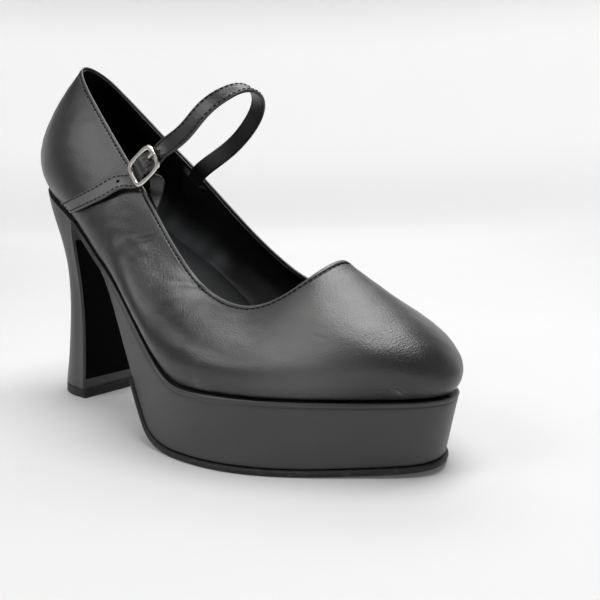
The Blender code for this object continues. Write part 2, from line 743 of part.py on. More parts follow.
def add_frame():
    """The buckle's frame: a rail swept round a rounded rectangle, and its middle bar."""
    angle = (np.arange(FRAME_STATIONS) + 0.5) * 2 * math.pi / FRAME_STATIONS
    half_length = (BUCKLE_LENGTH - BUCKLE_RAIL) / 2
    half_width = (BUCKLE_WIDTH - BUCKLE_RAIL) / 2
    reach = (np.abs(np.cos(angle)) ** FRAME_SQUARE
             + np.abs(np.sin(angle)) ** FRAME_SQUARE) ** (-1 / FRAME_SQUARE)
    along, across = half_length * reach * np.cos(angle), half_width * reach * np.sin(angle)
    run = unit(np.stack([np.roll(along, -1) - np.roll(along, 1),
                         np.roll(across, -1) - np.roll(across, 1)], -1))
    turn = np.arange(WIRE_SIDES) * 2 * math.pi / WIRE_SIDES
    out = BUCKLE_RAIL / 2 * np.cos(turn)
    rise = BUCKLE_THICKNESS / 2 * np.sin(turn)
    rings = in_buckle(along[:, None] + run[:, 1:] * out, across[:, None] - run[:, :1] * out, rise)
    frame = add_loop("buckle_frame", rings, "metal")
    bar = add_stack("bar_form", bar_rings(half_width, BAR_DIAMETER / 2), "metal")
    combine(frame, bar, "UNION")
    return frame


def combine(target, tool, operation):
    """Join or cut an object with a hidden form, kept as a modifier."""
    boolean = target.modifiers.new(tool.name, "BOOLEAN")
    boolean.operation = operation
    boolean.object = tool
    tool.hide_render = True
    tool.display_type = "WIRE"


def prong_lines():
    """The prong's ring round the bar, and its line up over the end rail."""
    radius = BAR_DIAMETER / 2 + GAP + PRONG_DIAMETER / 2
    angle = np.arange(RING_STATIONS) * 2 * math.pi / RING_STATIONS
    ring = in_buckle(radius * np.cos(angle), 0.0, radius * np.sin(angle) - BAR_DROP)
    path = np.array(PRONG_PATH)
    fine = Spline(np.arange(len(path)), path)(np.linspace(0, len(path) - 1, PRONG_ROWS))
    line = in_buckle(fine[:, 0] * BUCKLE_LENGTH / 2, 0.0, (fine[:, 1] - 1) * BAR_DROP)
    return ring, line


def add_prong():
    """The prong: a ring round the middle bar, and a round finger that rests on the end rail."""
    ring, line = prong_lines()
    prong = add_loop("buckle_prong", tube(ring, PRONG_DIAMETER / 2, closed=True), "metal")
    finger = add_stack("finger_form", tube(line, PRONG_DIAMETER / 2), "metal")
    combine(prong, finger, "UNION")
    return prong


def add_strap():
    """The strap, from its medial root to its tail, with the prong's hole and the spare holes."""
    rows, at = band_rows(strap_sections(), STRAP_STEP)
    strap = add_band("strap", rows, STRAP_THICKNESS, "leather")
    ring, line = prong_lines()
    room = PRONG_DIAMETER / 2 + GAP
    combine(strap, add_loop("ring_room", tube(ring, room, closed=True), "metal"), "DIFFERENCE")
    combine(strap, add_stack("finger_room", tube(line, room), "metal"), "DIFFERENCE")
    middle = rows[:, STRAP_RAILS // 2]
    bar = np.linalg.norm(middle - in_buckle(0.0, 0.0, 0.0), axis=1).argmin()
    normals = band_normals(rows)[:, STRAP_RAILS // 2]
    angle = (np.arange(WIRE_SIDES) * 2 * math.pi / WIRE_SIDES)[:, None]
    for number, station in enumerate(HOLE_STATIONS):
        i = np.abs(at - at[bar] - station).argmin()
        side = unit(rows[i, -1] - rows[i, 0])
        edge = HOLE_DIAMETER / 2 * (np.cos(angle) * side
                                    + np.sin(angle) * np.cross(normals[i], side))
        depth = np.array([-1, 1])[:, None, None] * STRAP_THICKNESS * normals[i]
        hole = add_stack("hole_form_" + str(number + 1), middle[i] + edge + depth, "leather")
        combine(strap, hole, "DIFFERENCE")
    return strap


def add_anchor():
    """The anchor: a band sewn inside the collar that turns round the bar, slotted for the prong."""
    half = ANCHOR_WIDTH / 2
    root = np.array(ANCHOR_ROOT)
    sewn = UPPER_WALL + LINING_GAP + ANCHOR_THICKNESS / 2
    inside = wall_band(root[:, 0], root[:, 1], -sewn, half, ANCHOR_RAILS)
    spread = np.linspace(-half, half, ANCHOR_RAILS)
    along, across, out = ANCHOR_BEND
    bend = in_buckle(along * BUCKLE_LENGTH / 2 + spread * math.sin(ANCHOR_SKEW),
                     across * BUCKLE_WIDTH / 2 + spread * math.cos(ANCHOR_SKEW), out * BAR_DROP)
    turns = np.radians(ANCHOR_WRAP)[:, None]
    radius = BAR_DIAMETER / 2 + GAP + ANCHOR_THICKNESS / 2
    wrap = in_buckle(radius * np.cos(turns), spread, radius * np.sin(turns) - BAR_DROP)
    rows, _ = band_rows(np.concatenate([inside, bend[None], wrap]), ANCHOR_STEP)
    anchor = add_band("buckle_anchor", rows, ANCHOR_THICKNESS, "leather")
    room = BAR_DIAMETER / 2 + PRONG_DIAMETER + 2 * GAP
    slot = add_stack("slot_form", bar_rings(PRONG_DIAMETER / 2 + GAP, room), "leather")
    combine(anchor, slot, "DIFFERENCE")
    return anchor


def main():
    """Build the shoe."""
    clear_scene()
    add_upper()
    add_insole()
    add_platform()
    add_outsole()
    add_heel()
    add_strap()
    add_anchor()
    add_frame()
    add_prong()


main()
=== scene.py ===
"""The looks of the platform shoe for the right foot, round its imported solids.

X runs to the toe, Y to the medial (left) side, Z up, in metres. The origin is on the floor,
in the middle of the heel tip. Stations along the shoe are measured from the back of the seat
and are moved to the origin when a mesh is made. Surfaces are worked out over a turn, 0 at the
back of the shoe and pi at the toe on the lateral side, and a share of the way up.
"""
import math

import bpy
import numpy as np
from mathutils import Matrix


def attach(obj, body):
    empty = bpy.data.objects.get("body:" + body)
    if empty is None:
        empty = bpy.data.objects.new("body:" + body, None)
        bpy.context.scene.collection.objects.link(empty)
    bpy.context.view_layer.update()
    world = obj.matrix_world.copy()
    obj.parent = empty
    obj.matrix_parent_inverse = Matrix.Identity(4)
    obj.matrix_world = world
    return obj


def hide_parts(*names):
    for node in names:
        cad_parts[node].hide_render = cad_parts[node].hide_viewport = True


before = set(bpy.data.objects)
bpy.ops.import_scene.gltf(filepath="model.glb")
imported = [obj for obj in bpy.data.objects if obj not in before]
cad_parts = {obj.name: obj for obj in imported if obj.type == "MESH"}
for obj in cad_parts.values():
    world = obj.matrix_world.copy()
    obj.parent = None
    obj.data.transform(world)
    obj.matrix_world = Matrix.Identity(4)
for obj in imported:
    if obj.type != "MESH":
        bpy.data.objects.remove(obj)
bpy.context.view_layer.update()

# Driving dimensions, as in the solids
SOLE_LENGTH = 0.251
BALL_WIDTH = 0.087
HEEL_HEIGHT = 0.1155
PLATFORM_HEIGHT = 0.030
PLATFORM_TOE_TAPER = 0.0062
PLATFORM_FLARE = 0.0008
TOE_SPRING = 0.0026
OUTSOLE_THICKNESS = 0.0026
OUTSOLE_PROUD = 0.0011
HEEL_TIP_LENGTH = 0.0350
HEEL_TIP_WIDTH = 0.0465
HEEL_TIP_HEIGHT = 0.0050
HEEL_ROUND = 0.8
HEEL_TIP_BACK = 0.0077
BREAST_TOP = 0.0480
UPPER_WALL = 0.0018
UPPER_INSET = 0.0025
COLLAR_BACK = 0.0310
COLLAR_LENGTH = 0.1650
COLLAR_RISE = 0.0710
INSOLE_THICKNESS = 0.0030
STRAP_WIDTH = 0.0088
STRAP_THICKNESS = 0.0016
STRAP_REACH = 0.0550
STRAP_SPAN = 0.0220
STRAP_RISE = 0.0380
HOLE_DIAMETER = 0.0018
BUCKLE_LENGTH = 0.0186
BUCKLE_RAIL = 0.0019
BUCKLE_THICKNESS = 0.0015
BUCKLE_SLACK = 0.0008
BAR_DIAMETER = 0.0013
BAR_DROP = 0.0012
PRONG_DIAMETER = 0.0013
ANCHOR_WIDTH = 0.0084
ANCHOR_THICKNESS = 0.0007
GAP = 0.0003
LINING_GAP = 0.0005
FRAME_SQUARE = 4.5
SPRING_START = 0.795
SPRING_CURVE = 1.6
TAPER_START = 0.713
TAPER_CURVE = 1.4
OUTSOLE_START = 0.462

# Dimensions of the finish
SKIN = 0.0011                  # the outer layer of the upper
SKIN_SWELL = 0.00022           # soft unevenness of the upper
SKIN_RIPPLE = 0.00005          # finer unevenness of the upper
EDGE_FOLD = 0.00016            # the collar's turned edge, proud of the seam below it
SEAM_GROOVE = 0.00022          # stitches' groove, in the upper and in the strap
SOLE_TUCK = 0.0005             # the upper drawn in where it meets the platform
LINING_DROP = 0.0011           # lining's edge below the collar's
LINING_WRINKLE = 0.00030
POCKET_SPREAD = (0.0008, 0.0100)    # lining's slope off the strap's root, past its edges
POCKET_DEPTH = 0.006           # lining's slope over the strap's root, below the collar
COVER_EDGE = 0.0008            # rounding of the covered platform's edges
COVER_SWELL = 0.00016          # soft unevenness of the platform's cover
BEAD_WIDTH = 0.0012            # platform's rolled edge down to the crease below it
BEAD_CREASE = 0.00028
BEAD_ROWS = (0.0002, 0.0006, 0.0009, 0.00105, 0.0012, 0.00135, 0.0015, 0.0019)
SHORTEST_WALL = 0.008          # platform wall on which the bead keeps its full width
SOCK_TUCK = 0.0002             # sock's edge under the lining
BREAST_BORDER = 0.0018         # cover folded round the heel's breast
BREAST_RECESS = 0.0006         # breast panel behind that border
BREAST_LOW = 0.0098            # panel's ends above the floor
BREAST_HIGH = 0.1035
SHADE_SHEET_BORDER = 0.0022        # painted shade: a black sheet inside the breast's edges
SHADE_SHEET_ENDS = (0.092, 0.885)  # its ends, as shares of the seat's height
SHADE_SHEET_SINK = 0.00035         # its face behind the border's
SHADE_SHEET_THICKNESS = 0.0005
RAIL_FULLNESS = 1.2            # buckle's rail, this much wider here than in its solid
STITCH_PITCH = 0.0026
STITCH_LENGTH = 0.0018
THREAD = 0.00070
TOPLINE_SEAM = 0.0021          # topline's stitches below the collar's edge
STRAP_SEAM = 0.0011            # strap's stitches inside its edges

# The camera as it was solved from the photograph, and lamps fitted to its highlights
CAMERA_PLACE = (0.3624, -0.2510, 0.1140)
CAMERA_RIGHT = (0.76610, 0.64246, -0.01808)
CAMERA_UP = (-0.08605, 0.13040, 0.98772)
CAMERA_BACK = (0.63693, -0.75514, 0.15519)
CAMERA_LENS = 45.58            # millimetres, on a sensor 36 wide
ROOM_LIGHT = 0.15
SHOE_MIDDLE = (0.10, 0.0, 0.06)
LAMPS = (
    # name, place, point it faces, width and depth, watts
    ("overhead", (0.24, 0.16, 1.2), (0.24, 0.16, 0.0), (1.0, 0.6), 14),
    ("left_window", (-0.30, -0.85, 0.90), SHOE_MIDDLE, (0.5, 0.5), 3.4),
    ("back_window", (-0.44, 0.70, 1.00), SHOE_MIDDLE, (1.2, 0.4), 5),
)

# How finely the surfaces are cut
ROUND = 640                    # points round the shoe
WALL_ROWS = 110
LINING_ROWS = 46
SOLE_ROUND = 400
HEEL_ROUND_POINTS = 72
BAND_RAILS = 5                 # points across a band's middle face

# The same shares as in the solids
SOLE_BACK = (0.0, 1.0)
SOLE_TOE = (0.011, 0.017)
SOLE = (
    # along, lateral, medial, climb
    (0.030, 0.165, 0.174, 0.973),
    (0.090, 0.258, 0.272, 0.900),
    (0.200, 0.330, 0.287, 0.759),
    (0.304, 0.407, 0.293, 0.585),
    (0.386, 0.474, 0.301, 0.458),
    (0.457, 0.529, 0.322, 0.304),
    (0.519, 0.565, 0.343, 0.144),
    (0.570, 0.590, 0.366, 0.039),
    (0.652, 0.598, 0.400, 0.002),
    (0.734, 0.546, 0.426, 0.000),
    (0.816, 0.431, 0.425, -0.001),
    (0.898, 0.279, 0.333, 0.001),
    (0.959, 0.163, 0.228, 0.007),
)
UNDERSIDE = (
    # along, share
    (0.000, 0.974), (0.180, 0.968), (0.263, 0.962), (0.324, 0.945), (0.365, 0.880),
    (0.406, 0.740), (0.447, 0.530), (0.478, 0.330), (0.503, 0.155), (0.529, 0.060),
    (0.560, 0.018), (0.590, 0.000), (1.000, 0.000),
)
COLLAR_PEAK = (-0.020, 1.02)
COLLAR_THROAT = (0.048, 0.716)
COLLAR = (
    # along, lateral, medial, lateral rise, medial rise
    (0.03, 0.084, 0.092, 0.960, 0.974),
    (0.12, 0.130, 0.153, 0.854, 0.869),
    (0.30, 0.177, 0.234, 0.669, 0.710),
    (0.50, 0.257, 0.284, 0.527, 0.583),
    (0.68, 0.295, 0.341, 0.507, 0.570),
    (0.82, 0.270, 0.346, 0.453, 0.498),
    (0.92, 0.206, 0.282, 0.536, 0.593),
    (0.98, 0.122, 0.175, 0.656, 0.639),
)
WALL_BACK = (0.234, 0.269, 0.245, 0.246)
WALL_TOE = (0.224, 0.226, 0.309, 0.213)
WALL = (
    # along, low out, low up, high out, high down
    (0.10, 0.243, 0.357, 0.221, 0.301),
    (0.30, 0.216, 0.272, 0.117, 0.277),
    (0.50, 0.223, 0.304, 0.164, 0.265),
    (0.68, 0.214, 0.317, 0.270, 0.186),
    (0.85, 0.257, 0.329, 0.363, 0.233),
)
HEEL = (
    # height, back, breast, half width, seat
    (0.00, 0.000, 0.000, 1.00, 0.00),
    (0.06, 0.050, -0.030, 1.00, 0.00),
    (0.12, 0.100, -0.030, 0.985, 0.00),
    (0.22, 0.170, -0.030, 0.955, 0.00),
    (0.34, 0.235, -0.025, 0.930, 0.00),
    (0.47, 0.300, -0.020, 0.920, 0.00),
    (0.60, 0.350, -0.010, 0.945, 0.00),
    (0.70, 0.385, 0.014, 1.000, 0.02),
    (0.79, 0.375, 0.042, 1.065, 0.10),
    (0.87, 0.310, 0.064, 1.120, 0.30),
    (0.94, 0.205, 0.072, 1.170, 0.62),
    (1.00, 0.100, 0.090, 1.200, 1.00),
)
STRAP_BASE = (0.0910, 0.1180)
STRAP_ARCH = (
    # forward, side, up, dip
    (0.33, 1.00, 0.27, 48),
    (0.65, 0.94, 0.55, 42),
    (0.88, 0.70, 0.80, 33),
    (0.98, 0.36, 0.94, 27),
    (0.99, 0.00, 0.98, 24),
    (0.94, -0.38, 0.91, 27),
    (0.81, -0.70, 0.73, 33),
    (0.63, -0.87, 0.47, 40),
    (0.45, -0.93, 0.33, 45),
)
BUCKLE_CENTRE = (0.170, -1.00, 0.105)
BUCKLE_HEADING = (0.80, 0.13, 0.58)
BUCKLE_DIP = 46
STRAP_WEAVE = (
    # along, rise
    (1.08, 0.0), (0.76, 0.03), (0.38, 0.58), (0.00, 1.0), (-0.38, 0.58), (-0.76, 0.03),
    (-1.08, 0.0),
)
STRAP_ROOT = (
    # round, up, on the medial lining
    (0.387, 0.74), (0.402, 0.87), (0.416, 1.00),
)
STRAP_TAIL = (
    # upper edge round, up, lower edge round, up, lift, on the lateral quarter
    (0.3690, 0.800, 0.3960, 0.785, 1.0),
    (0.3457, 0.611, 0.3725, 0.603, 0.5),
    (0.3332, 0.509, 0.3588, 0.503, 0.2),
    (0.3157, 0.375, 0.3403, 0.371, 0.0),
    (0.2992, 0.269, 0.3265, 0.278, 0.0),
    (0.2830, 0.183, 0.3154, 0.212, 0.0),
    (0.2630, 0.110, 0.3028, 0.145, 0.0),
)
ANCHOR_ROOT = (
    # round, up, on the lateral lining
    (0.452, 0.90), (0.451, 0.99), (0.450, 1.07),
)
ANCHOR_BEND = (0.02, 0.52, -3.1)
ANCHOR_WRAP = (-90, -50, -10, 30, 70, 110, 150, 190)
HOLE_STATIONS = (-0.0120, 0.0205)
PRONG_PATH = (
    # along, rise
    (0.18, 0.00), (0.33, 0.06), (0.49, 0.60), (0.62, 1.75), (0.76, 2.38), (1.01, 2.42),
)

# Creases of the upper: from one place on the wall to another, each as a share of the turn from
# the back to the toe, past 1 on the medial side, and a share of the way up; how far the middle
# bows up, as a share of the way up; depth and half width in millimetres.
CREASES = (
    # round, up, to round, up, bow, depth, half width
    (0.452, 0.60, 0.502, 0.92, -0.02, 0.42, 1.5),
    (0.470, 0.52, 0.492, 0.66, 0.02, 0.16, 1.8),
    (0.535, 0.72, 0.600, 0.93, -0.02, 0.24, 2.2),
    (0.596, 0.91, 0.632, 0.985, 0.01, 0.26, 1.1),
    (0.560, 0.66, 0.640, 0.86, 0.03, 0.14, 2.8),
    (0.655, 0.93, 0.690, 0.985, 0.01, 0.14, 1.3),
    (0.430, 0.30, 0.450, 0.52, 0.02, 0.20, 3.4),
    (0.700, 0.70, 0.760, 0.80, 0.05, 0.12, 4.0),
    (0.832, 0.615, 0.846, 0.580, 0.00, 0.22, 0.8),
    (0.847, 0.125, 0.861, 0.062, 0.01, 0.30, 0.5),
    (1.560, 0.55, 1.500, 0.85, 0.02, 0.30, 1.9),
    (1.440, 0.60, 1.400, 0.90, -0.02, 0.22, 2.2),
    (1.340, 0.66, 1.300, 0.88, 0.02, 0.15, 2.6),
)

# Painted highlights and scuffs: bell-shaped spots, each a place on the wall as in the creases, a
# size in metres and a strength. The vamp's and the lining's are painted highlights, light
# that the lamps here don't give; the leather itself may not be paler there.
VAMP_HIGHLIGHTS = (
    # round, up, size, strength
    (0.78, 0.55, 0.022, 0.9), (0.88, 0.75, 0.022, 0.5), (0.98, 0.72, 0.024, 0.2),
    (0.68, 0.60, 0.014, 0.4),
)
SCUFFS = (
    # round, up, size, strength
    (0.851, 0.105, 0.0012, 0.5), (0.857, 0.080, 0.0012, 0.5), (0.600, 0.055, 0.0022, 0.6),
    (0.612, 0.035, 0.0018, 0.6),
)
LINING_HIGHLIGHTS = (
    # round, up, size, strength
    (1.70, 0.16, 0.007, 1.0), (1.66, 0.12, 0.007, 1.0), (1.63, 0.09, 0.007, 1.0),
    (1.60, 0.12, 0.007, 1.0), (1.57, 0.08, 0.006, 1.0),
)


def unit(vectors):
    """Vectors scaled to length one."""
    return vectors / np.linalg.norm(vectors, axis=-1, keepdims=True)


def ease(low, high, value):
    """0 below low, 1 above high, and a smooth cubic step between."""
    t = np.clip((value - low) / (high - low), 0, 1)
    return t * t * (3 - 2 * t)


def bell(distance, width):
    """A bell curve, 1 at no distance and falling as the exponential of minus its square."""
    return np.exp(-(distance / width) ** 2)


class Spline:
    """A cubic spline through rows of values, either closed on itself or with free ends."""

    def __init__(self, knots, values, period=None):
        self.knots = np.asarray(knots, float)
        self.values = np.asarray(values, float)
        self.period = period
        if period:
            self.knots = np.append(self.knots, self.knots[0] + period)
            self.values = np.concatenate([self.values, self.values[:1]])
        step = np.diff(self.knots)
        slope = np.diff(self.values, axis=0) / step[:, None]
        count = len(self.knots)
        left = np.eye(count)
        right = np.zeros((count, self.values.shape[1]))
        for i in range(1, count - 1):
            left[i, i - 1:i + 2] = step[i - 1], 2 * (step[i - 1] + step[i]), step[i]
            right[i] = 6 * (slope[i] - slope[i - 1])
        if period:
            left[0, [0, 1, -2]] = 2 * (step[0] + step[-1]), step[0], step[-1]
            right[0] = 6 * (slope[0] - slope[-1])
            left[-1, 0] = -1
        self.bends = np.linalg.solve(left, right)

    def __call__(self, at):
        at = np.asarray(at, float)
        if self.period:
            at = self.knots[0] + np.mod(at - self.knots[0], self.period)
        i = np.clip(np.searchsorted(self.knots, at, side="right") - 1, 0, len(self.knots) - 2)
        step = (self.knots[i + 1] - self.knots[i])[..., None]
        ahead = (self.knots[i + 1] - at)[..., None]
        behind = (at - self.knots[i])[..., None]
        low, high = self.bends[i], self.bends[i + 1]
        start, end = self.values[i], self.values[i + 1]
        return (low * ahead ** 3 + high * behind ** 3) / (6 * step) \
            + (start / step - low * step / 6) * ahead + (end / step - high * step / 6) * behind


def turn_of(share):
    """The angle round the shoe, 0 at the back and pi at the toe, of a station's share."""
    return np.arccos(np.clip(1 - 2 * np.asarray(share, float), -1, 1))


def ring_spline(back, toe, lateral, medial, stations):
    """A closed spline round the shoe from rows at stations on both sides and at both ends."""
    turns = turn_of(stations)
    knots = np.concatenate([[0.0], turns, [math.pi], 2 * math.pi - turns[::-1]])
    values = np.concatenate([[back], lateral, [toe], np.asarray(medial)[::-1]])
    return Spline(knots, values, 2 * math.pi)


sole_rows, collar_rows, wall_rows = np.array(SOLE), np.array(COLLAR), np.array(WALL)
PLAN = ring_spline([SOLE_BACK[0]], [SOLE_TOE[0]], -sole_rows[:, 1:2], sole_rows[:, 2:3],
                   sole_rows[:, 0])
CLIMB = ring_spline([SOLE_BACK[1]], [SOLE_TOE[1]], sole_rows[:, 3:], sole_rows[:, 3:],
                    sole_rows[:, 0])
EDGE = ring_spline(COLLAR_PEAK, COLLAR_THROAT, collar_rows[:, [1, 3]] * [-1, 1],
                   collar_rows[:, [2, 4]], collar_rows[:, 0])
HANDLES = ring_spline(WALL_BACK, WALL_TOE, wall_rows[:, 1:], wall_rows[:, 1:], wall_rows[:, 0])
UNDER = Spline(np.array(UNDERSIDE)[:, 0], np.array(UNDERSIDE)[:, 1:])

ORIGIN = np.array([HEEL_TIP_BACK + HEEL_TIP_LENGTH / 2, 0.0, 0.0])
BUCKLE_WIDTH = STRAP_WIDTH + 2 * (BUCKLE_RAIL + BUCKLE_SLACK)
UP = np.array([0.0, 0.0, 1.0])
DOWN = np.array([0.7, 0.0, -0.7])       # side of a band that faces down and to the toe
ANCHOR_SKEW = math.radians(35)


def sole_top(x):
    """Height of the sole stack's top, level across the shoe, at stations in metres."""
    climb = CLIMB(turn_of(x / SOLE_LENGTH))[..., 0]
    return PLATFORM_HEIGHT + (HEEL_HEIGHT - PLATFORM_HEIGHT) * climb


def sole_under(x):
    """Height of the sole's lowest face, outsole included."""
    share = np.clip(x / SOLE_LENGTH, 0, 1)
    lift = np.clip((share - SPRING_START) / (1 - SPRING_START), 0, 1) ** SPRING_CURVE
    thick = np.where(share < UNDERSIDE[-2][0], np.maximum(UNDER(share)[..., 0], 0), 0)
    return thick * sole_top(x) + TOE_SPRING * lift


def above_floor_face(x, distance):
    """Height of a face that lies a distance above the sole's lowest face, square to it."""
    step = 1e-4
    slope = (sole_under(x + step) - sole_under(x - step)) / (2 * step)
    return sole_under(x) + distance * np.sqrt(1 + slope ** 2)


def plan_normal(curve, turn):
    """Outward plan normals of a closed curve of the turn."""
    step = 1e-4
    run = unit(curve(turn + step) - curve(turn - step))
    return np.stack([run[..., 1], -run[..., 0]], -1)


def plan_curve(turn):
    """The platform's plan edge."""
    x = SOLE_LENGTH * (1 - np.cos(turn)) / 2
    return np.stack([x, BALL_WIDTH * PLAN(turn)[..., 0]], -1)


def sole_edge(turn, inset=0.0):
    """The platform's plan edge, drawn in by an inset."""
    return plan_curve(turn) - inset * plan_normal(plan_curve, turn)


def collar_plan(turn):
    """The collar's edge in plan."""
    x = COLLAR_BACK + COLLAR_LENGTH * (1 - np.cos(turn)) / 2
    return np.stack([x, BALL_WIDTH * EDGE(turn)[..., 0]], -1)


def wall_point(turn, up):
    """The upper's outer face: a cubic curve from the sole's edge, 0, to the collar's, 1."""
    turn, up = np.broadcast_arrays(np.asarray(turn, float), np.asarray(up, float))
    foot = sole_edge(turn, UPPER_INSET)
    low = np.concatenate([foot, (sole_top(foot[..., 0]) + GAP)[..., None]], -1)
    plan = collar_plan(turn)
    height = sole_top(plan[..., 0]) + COLLAR_RISE * EDGE(turn)[..., 1]
    high = np.concatenate([plan, height[..., None]], -1)
    reach = np.linalg.norm(high - low, axis=-1, keepdims=True)
    share = HANDLES(turn)[..., None, :]
    zero = np.zeros(turn.shape + (1,))
    out_low = np.concatenate([plan_normal(plan_curve, turn), zero], -1)
    out_high = np.concatenate([plan_normal(collar_plan, turn), zero], -1)
    first = low + reach * (share[..., 0] * out_low + share[..., 1] * UP)
    second = high + reach * (share[..., 2] * out_high - share[..., 3] * UP)
    t = up[..., None]
    return (1 - t) ** 3 * low + 3 * (1 - t) ** 2 * t * first \
        + 3 * (1 - t) * t ** 2 * second + t ** 3 * high


def wall_normal(turn, up):
    """Outward normals of the upper's outer face."""
    step = 1e-3
    above = np.minimum(up + step, 1.0)
    below = np.maximum(up - step, 0.0)
    round_run = wall_point(turn + step, up) - wall_point(turn - step, up)
    rise = wall_point(turn, above) - wall_point(turn, below)
    return unit(np.cross(round_run, rise))


class Link:
    """The value of a socket. Arithmetic on it adds Math nodes to its finish."""

    def __init__(self, finish, socket):
        self.finish = finish
        self.socket = socket

    def joined(self, operation, first, second):
        return self.finish.node("ShaderNodeMath", {"operation": operation}, [first, second])

    def __add__(self, other):
        return self.joined("ADD", self, other)

    def __sub__(self, other):
        return self.joined("SUBTRACT", self, other)

    def __mul__(self, other):
        return self.joined("MULTIPLY", self, other)

    __radd__ = __add__

    def smooth(self, low, high, to_low=0.0, to_high=1.0):
        """A smooth step from one value to another as this one goes from low to high."""
        return self.finish.node("ShaderNodeMapRange", {"interpolation_type": "SMOOTHSTEP"},
                                [self, low, high, to_low, to_high])


class Finish:
    """A material under construction, over the piece's own place in space."""

    def __init__(self, name):
        self.made = bpy.data.materials.new(name)
        self.made.use_nodes = True
        self.tree = self.made.node_tree
        self.shader = self.tree.nodes["Principled BSDF"]
        self.place = self.node("ShaderNodeTexCoord", output="Object")

    def node(self, kind, settings=None, values=(), output=0):
        """A node of a kind, its settings first, then its sockets' values or links."""
        made = self.tree.nodes.new(kind)
        for name, value in (settings or {}).items():
            setattr(made, name, value)
        self.fill(made, values)
        return Link(self, made.outputs[output])

    def fill(self, made, values):
        """Put values or links into a node's sockets, by number or name."""
        pairs = values.items() if isinstance(values, dict) else enumerate(values)
        for key, value in pairs:
            if isinstance(value, Link):
                self.tree.links.new(value.socket, made.inputs[key])
            else:
                made.inputs[key].default_value = value

    def noise(self, scale, detail):
        """Noise of so many waves to the metre."""
        return self.node("ShaderNodeTexNoise", values={
            "Vector": self.place, "Scale": scale, "Detail": detail, "Roughness": 0.5})

    def cells(self, scale):
        """Distance to the nearest of so many cells to the metre."""
        return self.node("ShaderNodeTexVoronoi", {"feature": "SMOOTH_F1"},
                         {"Vector": self.place, "Scale": scale})

    def painted(self, name):
        """A number that the piece carries at each of its points."""
        return self.node("ShaderNodeAttribute", {"attribute_name": name}, output="Fac")

    def blend(self, share, first, second):
        """One colour turning into another."""
        return self.node("ShaderNodeMix", {"data_type": "RGBA"},
                         {0: share, 6: first, 7: second}, output=2)

    def bumps(self, *layers):
        """Normals with reliefs on top of each other, each a height and a depth in metres."""
        normal = None
        for height, depth in layers:
            values = {"Height": height, "Distance": depth}
            if normal:
                values["Normal"] = normal
            normal = self.node("ShaderNodeBump", values=values, output="Normal")
        return normal

    def surface(self, **values):
        """Fill the shader's sockets and return the material."""
        self.fill(self.shader, {key.replace("_", " "): value for key, value in values.items()})
        return self.made


def grey(level, warmth=0.0):
    """A dark neutral colour, a little warmer or cooler."""
    return (level * (1 + warmth), level, level * (1 - warmth), 1.0)


def leather():
    """Smooth coated leather: fine grain, clouded gloss, painted highlights, black where lined."""
    f = Finish("coated_leather")
    cloud = f.noise(34, 3)
    pores = f.cells(1500)
    fine = f.noise(3800, 2)
    highlighted = f.painted("painted_highlight")
    scuffed = f.painted("scuff") * f.noise(900, 2).smooth(0.35, 0.6)
    tone = f.blend(cloud.smooth(0.3, 0.7), grey(0.006, 0.02), grey(0.010, 0.01))
    # Painted highlights: paler at edges, on the vamp and on the strap's tail.
    tone = f.blend(highlighted, tone, grey(0.095, 0.01))
    tone = f.blend(scuffed, tone, grey(0.16, 0.02))
    tone = f.blend(f.painted("lined"), tone, grey(0.003))
    gloss = 0.26 + cloud * 0.08 + fine * 0.05 + highlighted * 0.12 + scuffed * 0.2
    return f.surface(Base_Color=tone, Roughness=gloss, Specular_IOR_Level=0.68,
                     Normal=f.bumps((pores, 0.00009), (fine, 0.00005)))


def cover():
    """The thin smooth covering of platform and heel."""
    f = Finish("smooth_cover")
    cloud = f.noise(26, 3)
    fine = f.noise(2600, 2)
    highlighted = f.painted("painted_highlight")
    tone = f.blend(cloud.smooth(0.3, 0.7), grey(0.034), grey(0.044))
    # Painted highlights: paler along the platform's top edge and the heel's border, where marked.
    tone = f.blend(highlighted, tone, grey(0.09))
    gloss = 0.36 + cloud * 0.10 + fine * 0.05 - highlighted * 0.1
    return f.surface(Base_Color=tone, Roughness=gloss, Specular_IOR_Level=0.6,
                     Normal=f.bumps((f.noise(420, 2), 0.00005), (fine, 0.00002)))


def lining():
    """Thin black lining with a faint woven back and a dull shine."""
    f = Finish("black_lining")
    fine = f.noise(2400, 2)
    tone = f.blend(f.noise(60, 2), grey(0.002, -0.05), grey(0.004, -0.05))
    # Painted highlight: paler at the marked places low on the medial side.
    tone = f.blend(f.painted("painted_highlight"), tone, grey(0.100, -0.05))
    return f.surface(Base_Color=tone, Roughness=0.34 + fine * 0.12, Specular_IOR_Level=0.4,
                     Normal=f.bumps((f.noise(150, 3), 0.0003), (fine, 0.00004)))


def sock():
    """The padded sock: dark, dull and finely pitted."""
    f = Finish("padded_sock")
    pits = f.cells(1100)
    tone = f.blend(pits.smooth(0.1, 0.6), grey(0.016, -0.05), grey(0.026, -0.05))
    return f.surface(Base_Color=tone, Roughness=0.62 + pits * 0.1, Specular_IOR_Level=0.25,
                     Normal=f.bumps((f.noise(90, 2), 0.0003), (pits, 0.00012)))


def panel():
    """Painted shade: a black sheet in the heel's breast, where it lies in shade; dull and almost
    without shine.
    """
    f = Finish("breast_painted_shade")
    fine = f.noise(2200, 2)
    tone = f.blend(fine, grey(0.0012), grey(0.003))
    return f.surface(Base_Color=tone, Roughness=0.7 + fine * 0.2, Specular_IOR_Level=0.06,
                     Normal=f.bumps((fine, 0.00006)))


def rubber():
    """Black moulded rubber, matt and a little dusty."""
    f = Finish("moulded_rubber")
    dust = f.noise(300, 4).smooth(0.52, 0.72)
    fine = f.noise(1800, 3)
    tone = f.blend(dust, grey(0.010), grey(0.028, 0.03))
    return f.surface(Base_Color=tone, Roughness=0.55 + fine * 0.15,
                     Normal=f.bumps((fine, 0.00008)))


